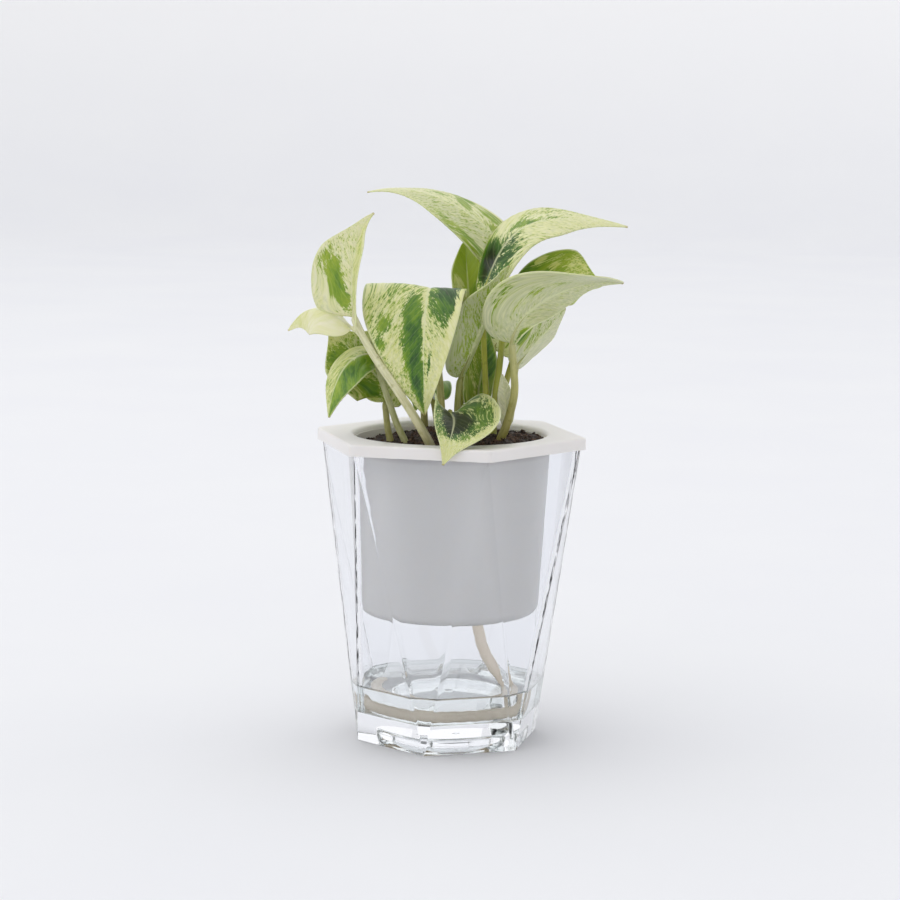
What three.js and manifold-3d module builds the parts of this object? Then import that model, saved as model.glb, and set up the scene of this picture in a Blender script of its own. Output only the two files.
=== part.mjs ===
// Potted golden pothos in a self-watering planter: a clear six-cornered tumbler that holds
// water, a white lid moulded in one with a round inner pot, soil, a cotton wick, and the plant.
// Millimetres, +Z up. The origin is on the table under the middle of the pot, and +X runs
// through a corner of the lid.
import * as THREE from 'three';
import { ConvexGeometry } from 'three/addons/geometries/ConvexGeometry.js';
import { mergeVertices } from 'three/addons/utils/BufferGeometryUtils.js';
import Module from 'manifold-3d';

const wasm = await Module();
wasm.setup();

// Driving dimensions
const planterHeight = 120;
const clearance = 0.3;
const corners = 6;

const tumbler = {
  height: 117.7,
  topRadius: 51.9,
  baseRadius: 36.3,
  wall: 2,
  floor: 12,
  recessRadius: 21.6,
  recessDepth: 5.4,
};

const lid = {
  cornerRadius: 54,
  rounding: 3,
  plate: 2,
  skirt: 4.5,
  skirtWall: 1.2,
};

const innerPot = {
  openingRadius: 39,
  lipRounding: 2,
  topRadius: 38.4,
  bottomRadius: 33.9,
  bottom: 50,
  bottomRounding: 4,
  wall: 1.7,
};

const waterLevel = 22;

const wick = {
  radius: 2.25,
  holeAt: [10.5, 0],
  layRadius: 27.3,
  layFrom: -34,
  layTo: -206,
  laySteps: 13,
  sides: 8,
  steps: 34,
};

const soilShape = {
  rimDrop: 4,
  moundHeight: 6,
  moundRadius: 22,
  lump: 0.7,
  rings: 9,
  sectors: 32,
  seed: 7,
};

const blade = {
  thickness: 0.8,
  tipHalfWidth: 0.45,
  rows: 12,
  columns: [-1, -0.62, -0.28, 0, 0.28, 0.62, 1],
};

const roundSegments = 40;
const stemSides = 8;
const stemSteps = 8;
const stemInSoil = 8;

// The plant stands turned by this much to the corners of the lid.
const plantTurn = THREE.MathUtils.degToRad(14.1);

// Each leaf: its midrib as a Bezier curve from the stem to the tip, the way its upper face
// looks at both ends, and, for its left and right halves as seen on the upper face, the half
// width, the fold at the midrib and the curl on to the margin in degrees. belly is where along
// the midrib it is widest, lobe how far the base runs back, drip how drawn out the tip is, and
// stem the way of its stalk from the soil to the blade.
const leaves = [
  {
    name: 'left_upright',
    midrib: [[-36.5, -21.5, 166.1], [-37.8, -28, 175.2], [-39.3, -16.5, 196], [-29.4, -14.7, 205.2]],
    faces: [[-0.36, -0.93, 0], [0.18, -0.91, 0.37]],
    width: [15.8, 9.3], fold: [-5, 53], curl: [9, 24], belly: 0.25, lobe: [0.15, 0.15], drip: 0.5,
    stem: [
      [-6.9, -30, 116.9], [-12.4, -33.5, 128.2], [-20.8, -33, 141.2],
      [-29.7, -28.5, 153.6], [-36.3, -22, 165.4],
    ],
    stemRadius: [1.9, 1.35],
  },
  {
    name: 'young',
    midrib: [[-37.5, -18.4, 162], [-48.5, -19.2, 169.8], [-54.9, -9, 172.3], [-62.8, -0.5, 159]],
    faces: [[0.04, -0.33, 0.94], [-0.46, -0.5, 0.74]],
    width: [9.8, 7.5], fold: [-42, -24], curl: [-13, 0], belly: 0.42, lobe: [0.14, 0.14], drip: 0.5,
  },
  {
    name: 'front',
    midrib: [[-6.6, 4.7, 166], [-7.4, -5, 187.6], [-12, -27, 175.3], [-9.6, -31.5, 130.2]],
    faces: [[-0.1, 0.1, 0.98], [0, -0.95, 0.3]],
    width: [13.8, 24.5], fold: [0, 13], curl: [-9, -12], belly: 0.25, lobe: [0.5, 0.5], drip: 0,
    stem: [[-3, -2, 119.1], [-4, 3, 134.9], [-5.4, 4.5, 151], [-6.5, 4.9, 165.4]],
    stemRadius: [1.7, 1.3],
  },
  {
    name: 'top_left',
    midrib: [[20.8, 33.5, 189.4], [13.6, 26.5, 200.9], [-9.5, 19.5, 218], [-33.5, 20.6, 211.5]],
    faces: [[0, -0.8, 0.6], [-0.04, -0.18, 0.98]],
    width: [14.9, 12.4], fold: [-1, -14], curl: [-4, -11], belly: 0.31, lobe: [0.65, 0.65], drip: 0.5,
    stem: [[16.4, -5, 117.5], [16.9, 0.5, 130.5], [18.8, 10, 143.5], [20.3, 22, 158.5], [20.9, 34, 188.7]],
    stemRadius: [1.5, 1.1],
  },
  {
    name: 'top_right',
    midrib: [[12.4, 14.3, 173.8], [21.1, 5.7, 199.7], [27.8, 16.9, 207.2], [69.4, 28.4, 198.5]],
    faces: [[-0.82, -0.48, 0.31], [0.09, -0.5, 0.86]],
    width: [12, 11.7], fold: [-5, -6], curl: [0, -3], belly: 0.3, lobe: [0.67, 0.67], drip: 0.5,
    stem: [[13.5, -2, 117.6], [13.7, 3, 132.4], [12.9, 12.5, 150.9], [12.3, 14.1, 173.1]],
    stemRadius: [1.4, 1.1],
  },
  {
    name: 'behind_centre',
    midrib: [[7.4, 30.8, 164.1], [6.5, 28.5, 173.9], [5.7, 26, 185.1], [5.2, 30.3, 192.2]],
    faces: [[0.01, -0.96, 0.29], [0.03, -0.96, 0.29]],
    width: [7.8, 7.6], fold: [25, 22], curl: [19, 17], belly: 0.43, lobe: [0.55, 0.55], drip: 0.3,
    stem: [[3, 17, 118], [5, 22, 138], [7.3, 31, 165.4]],
    stemRadius: [1.4, 1],
  },
  {
    name: 'right_back',
    midrib: [[30.2, 14.4, 170.6], [36.4, 13.4, 178.6], [46.3, 14.9, 180.5], [58.6, 13.6, 176.2]],
    faces: [[-0.11, -0.76, 0.64], [0.14, -0.75, 0.65]],
    width: [14.8, 12], fold: [0, 0], curl: [0, 0], belly: 0.43, lobe: [0.4, 0.4], drip: 0.5,
    stem: [[15, 9, 118], [19, 11, 130], [25, 14, 150], [30, 14.8, 169.9]],
    stemRadius: [1.5, 1.1],
  },
  {
    name: 'right',
    midrib: [[23.3, -8.7, 155.6], [25.3, -13.7, 170.5], [47.5, -4, 182], [66.8, 9.6, 177.7]],
    faces: [[0.62, 0.73, 0.28], [-0.18, 0.49, 0.85]],
    width: [7, 19.4], fold: [-28, -14], curl: [-11, -23], belly: 0.36, lobe: [0.1, 0.1], drip: 0.5,
    stem: [
      [19, -10, 117.5], [21.4, -10.3, 124.3], [24.3, -10.2, 136],
      [24.2, -9.3, 144.7], [23.3, -8.4, 154.8],
    ],
    stemRadius: [1.9, 1.35],
  },
  {
    name: 'right_low',
    midrib: [[25.7, 4.4, 146.4], [31, 4.5, 153.4], [40.1, 5.2, 162.4], [44.4, 9.8, 167.7]],
    faces: [[-0.52, 0.68, 0.51], [-0.41, 0.82, 0.39]],
    width: [10.8, 9.4], fold: [14, 0], curl: [17, 7], belly: 0.4, lobe: [0.52, 0.52], drip: 0.5,
    stem: [[21, 2, 117.5], [24, 2.5, 132], [25.5, 4, 145.7]],
    stemRadius: [1.3, 1],
  },
  {
    name: 'folded',
    midrib: [[3.6, 4.4, 141], [10.2, 1.4, 156.5], [16.1, -1, 172.6], [22.2, 0, 184.8]],
    faces: [[-0.12, 0.93, 0.3], [-0.2, 0.92, 0.3]],
    width: [7.5, 11], fold: [52, 0], curl: [22, 1], belly: 0.43, lobe: [0.52, 0.52], drip: 0.5,
    stem: [[3, -1, 118.5], [2.6, 1, 130], [3.5, 4.2, 139.4]],
    stemRadius: [1.5, 1.2],
  },
  {
    name: 'cup',
    midrib: [[-0.2, -20, 130.3], [2.8, -33.8, 128.1], [1.1, -46.6, 128.3], [-2.6, -52.8, 114.5]],
    faces: [[0.36, -0.78, 0.51], [0.1, -0.74, 0.67]],
    width: [18.5, 12], fold: [9, 9], curl: [46, 50], belly: 0.26, lobe: [1.26, 1], drip: 0.5,
    stem: [[-0.1, -10, 119], [-0.1, -13, 125], [-0.2, -19.3, 130.2]],
    stemRadius: [1.4, 1.1],
  },
  {
    name: 'left_low',
    midrib: [[-30, -12.8, 151.4], [-37.9, -16.3, 152.9], [-44.4, -24, 145.1], [-45.8, -26, 128.4]],
    faces: [[-0.26, -0.64, 0.72], [-0.85, -0.49, 0.19]],
    width: [10, 10.1], fold: [-9, -13], curl: [-9, -9], belly: 0.32, lobe: [0.19, 0.19], drip: 0.2,
    stem: [[-16.4, -15, 115.5], [-20.5, -14, 125], [-25.5, -13, 139], [-29.6, -12.5, 150.8]],
    stemRadius: [1.5, 1.15],
  },
  {
    name: 'left_back',
    midrib: [[-24.9, -3.6, 132.1], [-22.7, -6, 142.9], [-42.8, -3, 150.9], [-45.3, 2.3, 161.5]],
    faces: [[-0.22, -0.87, 0.44], [-0.14, -0.88, 0.46]],
    width: [14.8, 12], fold: [11, 5], curl: [15, 10], belly: 0.45, lobe: [0.47, 0.47], drip: 0.5,
    stem: [[-22.8, -8, 115.5], [-24.2, -6.5, 123], [-25, -4, 131.4]],
    stemRadius: [1.5, 1.25],
  },
  {
    name: 'inner',
    midrib: [[10.8, 18.1, 128.8], [10.4, 15.7, 137.4], [14.8, 16.7, 149.5], [13.8, 21.5, 158.7]],
    faces: [[0.01, -0.98, 0.2], [-0.04, -0.98, 0.2]],
    width: [7.4, 6.6], fold: [21, 24], curl: [16, 18], belly: 0.35, lobe: [0.59, 0.59], drip: 0.3,
    stem: [[9.6, 14, 117.7], [10.6, 18.5, 128.1]],
    stemRadius: [1.2, 1],
  },
  {
    name: 'small',
    midrib: [[21.5, -3, 123], [22, -3.4, 130], [20.5, -3, 137], [19.8, -2, 143]],
    faces: [[0, -1, 0.1], [0, -1, 0.1]],
    width: [3.2, 3.6], fold: [10, 10], curl: [25, 25], belly: 0.4, lobe: [0.2, 0.2], drip: 0.2,
    stem: [[21.2, -3.5, 117.5], [21.5, -3, 122.4]],
    stemRadius: [1, 0.8],
  },
  {
    name: 'back_left',
    midrib: [[-12, 18, 156], [-14, 26, 165], [-20, 40, 160], [-22, 46, 139]],
    faces: [[-0.2, -0.1, 1], [-0.4, 0.9, 0.2]],
    width: [12, 12], fold: [8, 8], curl: [-12, -12], belly: 0.34, lobe: [0.6, 0.6], drip: 0.4,
    stem: [[-10, 12, 118], [-11, 15, 137], [-11.9, 17.8, 155.3]],
    stemRadius: [1.6, 1.2],
  },
  {
    name: 'back_right',
    midrib: [[17, 23.5, 150], [20, 30, 158], [24, 39, 162], [27, 46.5, 155]],
    faces: [[0.2, -0.3, 1], [0.2, 0.3, 0.9]],
    width: [11, 11], fold: [6, 6], curl: [-10, -10], belly: 0.34, lobe: [0.55, 0.55], drip: 0.4,
    stem: [[12, 19, 118], [14, 21.5, 134], [16.8, 23.5, 149.3]],
    stemRadius: [1.5, 1.15],
  },
  {
    name: 'back_low',
    midrib: [[-7, 21, 131], [-8, 28, 139], [-12, 38, 138], [-14, 44, 123]],
    faces: [[0, -0.2, 1], [-0.1, 0.9, 0.3]],
    width: [9, 9], fold: [8, 8], curl: [-12, -12], belly: 0.34, lobe: [0.55, 0.55], drip: 0.4,
    stem: [[-5, 17, 118], [-6, 19, 125], [-7, 20.8, 130.3]],
    stemRadius: [1.4, 1.1],
  },
];

const clearStyrene = { color: 0xf4f7f9, roughness: 0.04, metalness: 0, transparent: true, opacity: 0.3 };
const whitePolypropylene = { color: 0xe6e3e0, roughness: 0.35, metalness: 0 };
const pottingSoil = { color: 0x3a2417, roughness: 0.95, metalness: 0 };
const cottonRope = { color: 0xcbbfb2, roughness: 0.9, metalness: 0 };
const tapWater = { color: 0xe6f0ee, roughness: 0.02, metalness: 0, transparent: true, opacity: 0.4 };
const marbledLeaf = { color: 0xc3cf8e, roughness: 0.45, metalness: 0 };
const greenLeaf = { color: 0x5f9a3a, roughness: 0.4, metalness: 0 };
const mostlyGreen = ['behind_centre', 'right_back', 'inner', 'back_low'];
const paleStem = { color: 0xbfc488, roughness: 0.5, metalness: 0 };

// Manifold solids and three.js geometries
function solid(geometry) {
  const bare = geometry.clone();
  bare.deleteAttribute('normal');
  bare.deleteAttribute('uv');
  const merged = mergeVertices(bare, 1e-4);
  return new wasm.Manifold(new wasm.Mesh({
    numProp: 3,
    vertProperties: new Float32Array(merged.attributes.position.array),
    triVerts: new Uint32Array(merged.index.array),
  }));
}

function geometryOf(body) {
  const pieces = body.decompose().sort((a, b) => b.volume() - a.volume());
  const mesh = pieces[0].getMesh();
  const geometry = new THREE.BufferGeometry();
  geometry.setAttribute('position', new THREE.BufferAttribute(mesh.vertProperties, 3));
  geometry.setIndex(new THREE.BufferAttribute(mesh.triVerts, 1));
  geometry.computeVertexNormals();
  return geometry;
}

function indexed(points, index) {
  const geometry = new THREE.BufferGeometry();
  const positions = points.flatMap((p) => p.toArray());
  geometry.setAttribute('position', new THREE.Float32BufferAttribute(positions, 3));
  geometry.setIndex(index);
  return geometry;
}

function addMesh(group, name, geometry, finish) {
  const mesh = new THREE.Mesh(geometry, new THREE.MeshStandardMaterial(finish));
  mesh.name = name;
  group.add(mesh);
}

function polar(radius, angle, z) {
  return new THREE.Vector3(radius * Math.cos(angle), radius * Math.sin(angle), z);
}

// The clear tumbler
// Its top is a hexagon and its base a smaller one turned by half a corner, so the side has
// twelve flat triangles.
function tumblerBody(inset) {
  const points = [];
  const step = 2 * Math.PI / corners;
  const shrink = inset / Math.cos(step / 2);
  for (let i = 0; i < corners; i += 1) {
    points.push(polar(tumbler.topRadius - shrink, i * step, tumbler.height));
    points.push(polar(tumbler.baseRadius - shrink, (i + 0.5) * step, 0));
  }
  return solid(new ConvexGeometry(points));
}

function slab(bottom, top) {
  const box = new THREE.BoxGeometry(4 * tumbler.topRadius, 4 * tumbler.topRadius, top - bottom);
  box.translate(0, 0, (top + bottom) / 2);
  return solid(box);
}

function disc(radius, bottom, top) {
  const cylinder = new THREE.CylinderGeometry(radius, radius, top - bottom, roundSegments);
  cylinder.rotateX(Math.PI / 2);
  cylinder.translate(0, 0, (top + bottom) / 2);
  return solid(cylinder);
}

// What the tumbler holds, run on past its mouth
function tumblerHollow() {
  const past = 2;
  const { height, floor, wall } = tumbler;
  const inside = tumblerBody(wall).intersect(slab(floor, height));
  const mouth = inside.translate([0, 0, past]).intersect(slab(height - past, height + past));
  return inside.add(mouth);
}

function tumblerGeometry() {
  const recess = disc(tumbler.recessRadius, -1, tumbler.recessDepth);
  return geometryOf(tumblerBody(0).subtract(tumblerHollow()).subtract(recess));
}

// The lid and inner pot, one moulding
function roundedHexagon(cornerRadius, rounding) {
  const shape = new THREE.Shape();
  const step = 2 * Math.PI / corners;
  const centre = cornerRadius - rounding / Math.cos(step / 2);
  for (let i = 0; i < corners; i += 1) {
    const at = polar(centre, i * step, 0);
    shape.absarc(at.x, at.y, rounding, (i - 0.5) * step, (i + 0.5) * step, false);
  }
  return shape;
}

function hexagonPlate(cornerRadius, rounding, bottom, top) {
  const shape = roundedHexagon(cornerRadius, rounding);
  const plate = new THREE.ExtrudeGeometry(shape, {
    depth: top - bottom, curveSegments: 4, bevelEnabled: false,
  });
  plate.translate(0, 0, bottom);
  return solid(plate);
}

function arcPoints(x, z, radius, from, to, steps) {
  const points = [];
  for (let i = 0; i <= steps; i += 1) {
    const angle = THREE.MathUtils.degToRad(from + (to - from) * i / steps);
    points.push(new THREE.Vector2(x + radius * Math.cos(angle), z + radius * Math.sin(angle)));
  }
  return points;
}

function turned(profile) {
  const lathe = new THREE.LatheGeometry(profile, roundSegments);
  lathe.rotateX(Math.PI / 2);
  return solid(lathe);
}

// Radius of the pot's outer wall at a height
function potRadius(z) {
  const share = (z - innerPot.bottom) / (planterHeight - innerPot.bottom);
  return innerPot.bottomRadius + share * (innerPot.topRadius - innerPot.bottomRadius);
}

function potSolid(inset, top) {
  const bottom = innerPot.bottom + inset;
  const rounding = Math.max(innerPot.bottomRounding - inset, 1);
  const radius = potRadius(bottom + rounding) - inset;
  const profile = [
    new THREE.Vector2(0, bottom),
    ...arcPoints(radius - rounding, bottom + rounding, rounding, -90, 0, 4),
    new THREE.Vector2(potRadius(top) - inset, top),
    new THREE.Vector2(0, top),
  ];
  return turned(profile);
}

function insertGeometry() {
  const skirtBottom = planterHeight - lid.skirt;
  const plateBottom = planterHeight - lid.plate;
  const skirtInside = lid.cornerRadius - lid.skirtWall / Math.cos(Math.PI / corners);
  const skirtRounding = lid.rounding - lid.skirtWall;
  const shell = hexagonPlate(lid.cornerRadius, lid.rounding, skirtBottom, planterHeight);
  const underside = hexagonPlate(skirtInside, skirtRounding, skirtBottom - 1, plateBottom);
  const lipCentre = innerPot.openingRadius;
  const lipProfile = [
    new THREE.Vector2(0, plateBottom - 1),
    ...arcPoints(lipCentre, planterHeight - innerPot.lipRounding, innerPot.lipRounding, 180, 90, 4),
    new THREE.Vector2(lipCentre, planterHeight + 1),
    new THREE.Vector2(0, planterHeight + 1),
  ];
  const wickHole = disc(wick.radius + clearance, innerPot.bottom - 1, innerPot.bottom + innerPot.wall + 1)
    .translate([wickStart.x, wickStart.y, 0]);
  return geometryOf(shell.subtract(underside)
    .add(potSolid(0, plateBottom + 1))
    .subtract(potSolid(innerPot.wall, planterHeight + 1))
    .subtract(turned(lipProfile))
    .subtract(wickHole));
}

// Turn from the plant's own directions to the planter's
function planterPoint(x, y, z) {
  return new THREE.Vector3(x, y, z).applyAxisAngle(new THREE.Vector3(0, 0, 1), plantTurn);
}

const wickStart = planterPoint(wick.holeAt[0], wick.holeAt[1], innerPot.bottom);

// The wick: down through the pot's floor into the water, then round along the tumbler's floor
function wickRoute() {
  const lay = tumbler.floor + clearance + wick.radius;
  const points = [
    [10.5, 0, 62],
    [10.5, 0, 56],
    [10.5, 0, 50],
    [11.5, -0.8, 43],
    [13.4, -1.9, 35.8],
    [16.9, -2.7, 29.1],
    [21.7, -3.7, 22.9],
    [24, -6.6, 18.8],
    [24.3, -10.8, 16],
  ].map(([x, y, z]) => new THREE.Vector3(x, y, z));
  const { layFrom, layTo, laySteps } = wick;
  for (let i = 0; i <= laySteps; i += 1) {
    const angle = THREE.MathUtils.degToRad(layFrom + (layTo - layFrom) * i / laySteps);
    points.push(polar(wick.layRadius, angle, lay));
  }
  return points;
}

function wickGeometry(grow) {
  const path = new THREE.CatmullRomCurve3(wickRoute(), false, 'centripetal');
  const section = new THREE.Shape();
  section.absarc(0, 0, wick.radius + grow, 0, 2 * Math.PI, false);
  return new THREE.ExtrudeGeometry(section, {
    steps: wick.steps, curveSegments: wick.sides / 2, bevelEnabled: false, extrudePath: path,
  });
}

function waterGeometry() {
  const lowest = tumbler.floor + clearance;
  const tunnel = solid(wickGeometry(clearance)).rotate([0, 0, THREE.MathUtils.radToDeg(plantTurn)]);
  return geometryOf(tumblerBody(tumbler.wall + clearance)
    .intersect(slab(lowest, waterLevel))
    .subtract(tunnel));
}

// A repeatable draw between -1 and 1
function makeDraw(seed) {
  let state = seed;
  return () => {
    state = (state * 16807) % 2147483647;
    return 2 * state / 2147483647 - 1;
  };
}

// Height of the soil over the rim's drop: a low mound round the stems
function soilHeight(x, y) {
  const r = Math.hypot(x, y) / soilShape.moundRadius;
  return planterHeight - soilShape.rimDrop + soilShape.moundHeight * Math.exp(-r * r);
}

// The soil's upper skin as rings of small lumps, closed below down to the pot's floor
function soilTop() {
  const draw = makeDraw(soilShape.seed);
  const { rings, sectors } = soilShape;
  const outer = potRadius(planterHeight - soilShape.rimDrop) - innerPot.wall + 1;
  const skin = [new THREE.Vector3(0, 0, soilHeight(0, 0))];
  for (let ring = 1; ring <= rings; ring += 1) {
    for (let k = 0; k < sectors; k += 1) {
      const at = polar(outer * ring / rings, 2 * Math.PI * (k + 0.5 * (ring % 2)) / sectors, 0);
      at.z = soilHeight(at.x, at.y) + soilShape.lump * draw();
      skin.push(at);
    }
  }
  const lowest = innerPot.bottom;
  const under = skin.map((p) => new THREE.Vector3(p.x, p.y, lowest));
  const index = [];
  const down = skin.length;
  const face = (a, b, c) => {
    index.push(a, b, c);
    index.push(a + down, c + down, b + down);
  };
  for (let k = 0; k < sectors; k += 1) {
    const next = (k + 1) % sectors;
    face(0, 1 + k, 1 + next);
    for (let ring = 1; ring < rings; ring += 1) {
      const inner = 1 + (ring - 1) * sectors;
      const edge = inner + sectors;
      face(inner + k, edge + k, edge + next);
      face(inner + k, edge + next, inner + next);
    }
    const rim = 1 + (rings - 1) * sectors;
    index.push(rim + k, rim + k + down, rim + next + down);
    index.push(rim + k, rim + next + down, rim + next);
  }
  return solid(indexed([...skin, ...under], index));
}

function soilGeometry() {
  const fill = potSolid(innerPot.wall + clearance, planterHeight + soilShape.moundHeight + 2);
  let soil = soilTop().intersect(fill);
  for (const leaf of leaves.filter((one) => one.stem)) {
    soil = soil.subtract(solid(stemGeometry(leaf, clearance)));
  }
  return geometryOf(soil.subtract(solid(wickGeometry(clearance))));
}

// A closed tube along a curve, with its own radius at each step
function tube(path, radii, sides) {
  const steps = radii.length - 1;
  const frames = path.computeFrenetFrames(steps, false);
  const points = [];
  const index = [];
  for (let i = 0; i <= steps; i += 1) {
    const at = path.getPointAt(i / steps);
    for (let k = 0; k < sides; k += 1) {
      const angle = 2 * Math.PI * k / sides;
      const spoke = frames.normals[i].clone().multiplyScalar(Math.cos(angle))
        .addScaledVector(frames.binormals[i], Math.sin(angle));
      points.push(at.clone().addScaledVector(spoke, radii[i]));
    }
  }
  for (let i = 0; i < steps; i += 1) {
    for (let k = 0; k < sides; k += 1) {
      const a = i * sides + k;
      const b = i * sides + (k + 1) % sides;
      index.push(a, b, b + sides);
      index.push(a, b + sides, a + sides);
    }
  }
  for (let k = 1; k < sides - 1; k += 1) {
    const last = steps * sides;
    index.push(0, k + 1, k);
    index.push(last, last + k, last + k + 1);
  }
  return indexed(points, index);
}

// A leaf stalk, rooted in the soil and a little longer at both ends where it is grown for a hole
function stemGeometry(leaf, grow) {
  const route = leaf.stem.map((p) => new THREE.Vector3(...p));
  const root = route[0].clone();
  root.z -= stemInSoil + grow;
  const ending = route.at(-1).clone().sub(route.at(-2)).normalize();
  route[route.length - 1] = route.at(-1).clone().addScaledVector(ending, grow);
  const path = new THREE.CatmullRomCurve3([root, ...route], false, 'centripetal');
  const [foot, top] = leaf.stemRadius;
  const radii = [];
  for (let i = 0; i <= stemSteps; i += 1) {
    radii.push(foot + (top - foot) * i / stemSteps + grow);
  }
  return tube(path, radii, stemSides);
}

// Half width of a blade along its midrib, as a share of the widest
function bladeProfile(leaf, t) {
  const fullness = 1.2;
  const base = (t / leaf.belly) ** (leaf.belly * fullness);
  const taper = ((1 - t) / (1 - leaf.belly)) ** ((1 - leaf.belly) * fullness);
  const drip = THREE.MathUtils.smoothstep(t, 0.5, 0.92);
  return base * taper * (1 - leaf.drip * drip);
}

// A place on the middle of a blade: t runs from the stem to the tip, v from margin to margin
function bladePoint(leaf, spine, t, v) {
  const side = v < 0 ? 0 : 1;
  const width = leaf.width[side];
  const reach = Math.max(width * bladeProfile(leaf, t), blade.tipHalfWidth) * Math.abs(v);
  const ramp = THREE.MathUtils.smoothstep(t, 0, 0.4);
  const sweep = -leaf.lobe[side] * (1 - ramp) + 0.45 * ramp * (1 - t) ** 0.7;
  const length = spine.getLength();
  const along = t + sweep * reach * Math.abs(v) / length;
  const inside = THREE.MathUtils.clamp(along, 0, 1);
  const tangent = spine.getTangentAt(inside);
  const at = spine.getPointAt(inside).addScaledVector(tangent, (along - inside) * length);
  const [from, to] = leaf.faces.map((f) => new THREE.Vector3(...f));
  const up = from.lerp(to, inside);
  up.addScaledVector(tangent, -up.dot(tangent)).normalize();
  const across = tangent.clone().cross(up);
  const fold = THREE.MathUtils.degToRad(leaf.fold[side]);
  const bend = THREE.MathUtils.degToRad(leaf.curl[side] || 0.1) / width;
  const outward = (Math.sin(fold + bend * reach) - Math.sin(fold)) / bend;
  const rise = (Math.cos(fold) - Math.cos(fold + bend * reach)) / bend;
  return at.addScaledVector(across, Math.sign(v) * outward).addScaledVector(up, rise);
}

// A blade of even thickness, with the same triangles on both faces
function bladeGeometry(leaf) {
  const spine = new THREE.CubicBezierCurve3(...leaf.midrib.map((p) => new THREE.Vector3(...p)));
  const rows = blade.rows + 1;
  const columns = blade.columns.length;
  const grid = [];
  for (let i = 0; i < rows; i += 1) {
    const t = THREE.MathUtils.clamp((i / blade.rows) ** 1.35, 0.004, 0.996);
    grid.push(blade.columns.map((v) => bladePoint(leaf, spine, t, v)));
  }
  const upper = [];
  const lower = [];
  for (let i = 0; i < rows; i += 1) {
    for (let k = 0; k < columns; k += 1) {
      const ahead = grid[Math.min(i + 1, rows - 1)][k].clone().sub(grid[Math.max(i - 1, 0)][k]);
      const aside = grid[i][Math.min(k + 1, columns - 1)].clone().sub(grid[i][Math.max(k - 1, 0)]);
      const normal = aside.cross(ahead).normalize().multiplyScalar(blade.thickness / 2);
      upper.push(grid[i][k].clone().add(normal));
      lower.push(grid[i][k].clone().sub(normal));
    }
  }
  const index = [];
  const down = upper.length;
  for (let i = 0; i < rows - 1; i += 1) {
    for (let k = 0; k < columns - 1; k += 1) {
      const a = i * columns + k;
      const b = a + 1;
      const c = a + columns;
      const d = c + 1;
      index.push(a, b, d);
      index.push(a, d, c);
      index.push(a + down, d + down, b + down);
      index.push(a + down, c + down, d + down);
    }
  }
  const edge = [];
  for (let k = 0; k < columns - 1; k += 1) edge.push(k);
  for (let i = 0; i < rows - 1; i += 1) edge.push(i * columns + columns - 1);
  for (let k = columns - 1; k > 0; k -= 1) edge.push((rows - 1) * columns + k);
  for (let i = rows - 1; i > 0; i -= 1) edge.push(i * columns);
  edge.forEach((a, k) => {
    const b = edge[(k + 1) % edge.length];
    index.push(a, b + down, b);
    index.push(a, a + down, b + down);
  });
  return indexed([...upper, ...lower], index);
}

// A blade stands clear of the stem that carries it
function leafGeometry(leaf) {
  const carrier = leaf.stem ? leaf : leaves[0];
  return geometryOf(solid(bladeGeometry(leaf)).subtract(solid(stemGeometry(carrier, clearance))));
}

const planter = new THREE.Group();
addMesh(planter, 'tumbler', tumblerGeometry(), clearStyrene);
addMesh(planter, 'lid_and_inner_pot', insertGeometry(), whitePolypropylene);
addMesh(planter, 'water', waterGeometry(), tapWater);

const plant = new THREE.Group();
plant.rotation.z = plantTurn;
addMesh(plant, 'soil', soilGeometry(), pottingSoil);
addMesh(plant, 'wick', geometryOf(solid(wickGeometry(0))), cottonRope);
for (const leaf of leaves) {
  const finish = mostlyGreen.includes(leaf.name) ? greenLeaf : marbledLeaf;
  addMesh(plant, `leaf_${leaf.name}`, leafGeometry(leaf), finish);
  if (leaf.stem) addMesh(plant, `stem_${leaf.name}`, stemGeometry(leaf, 0), paleStem);
}

const pothos = new THREE.Group();
pothos.add(planter, plant);

export default pothos;
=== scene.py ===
# A young marbled pothos in a clear six-cornered self-watering planter.
import math
import random

import bpy
import numpy as np
from mathutils import Matrix, Vector, noise


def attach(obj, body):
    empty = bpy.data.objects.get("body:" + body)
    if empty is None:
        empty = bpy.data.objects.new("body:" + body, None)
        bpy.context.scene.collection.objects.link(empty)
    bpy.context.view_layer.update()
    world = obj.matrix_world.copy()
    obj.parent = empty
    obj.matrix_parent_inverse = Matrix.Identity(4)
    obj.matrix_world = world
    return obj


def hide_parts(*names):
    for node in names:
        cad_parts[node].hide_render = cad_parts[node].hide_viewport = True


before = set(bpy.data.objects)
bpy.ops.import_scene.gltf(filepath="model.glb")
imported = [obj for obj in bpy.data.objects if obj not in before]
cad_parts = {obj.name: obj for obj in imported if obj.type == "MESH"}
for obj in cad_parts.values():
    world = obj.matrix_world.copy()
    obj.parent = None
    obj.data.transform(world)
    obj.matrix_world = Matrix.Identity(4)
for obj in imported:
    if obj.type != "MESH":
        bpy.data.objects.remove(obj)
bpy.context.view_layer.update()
bpy.ops.object.select_all(action="DESELECT")

mm = 0.001
plantTurn = Matrix.Rotation(math.radians(14.1), 4, "Z")  # the plant stands turned to the lid's corners


# Small helpers
def srgb(hexColour):
    parts = [int(hexColour[i:i + 2], 16) / 255 for i in (0, 2, 4)]
    linear = [c / 12.92 if c <= 0.04045 else ((c + 0.055) / 1.055) ** 2.4 for c in parts]
    return (*linear, 1.0)


# Fills a node's inputs: a node or a socket is linked, and anything else is a value
def feed(tree, node, inputs):
    for name, value in inputs.items():
        if isinstance(value, bpy.types.Node):
            value = value.outputs[0]
        if isinstance(value, bpy.types.NodeSocket):
            tree.links.new(value, node.inputs[name])
        else:
            node.inputs[name].default_value = value


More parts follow.
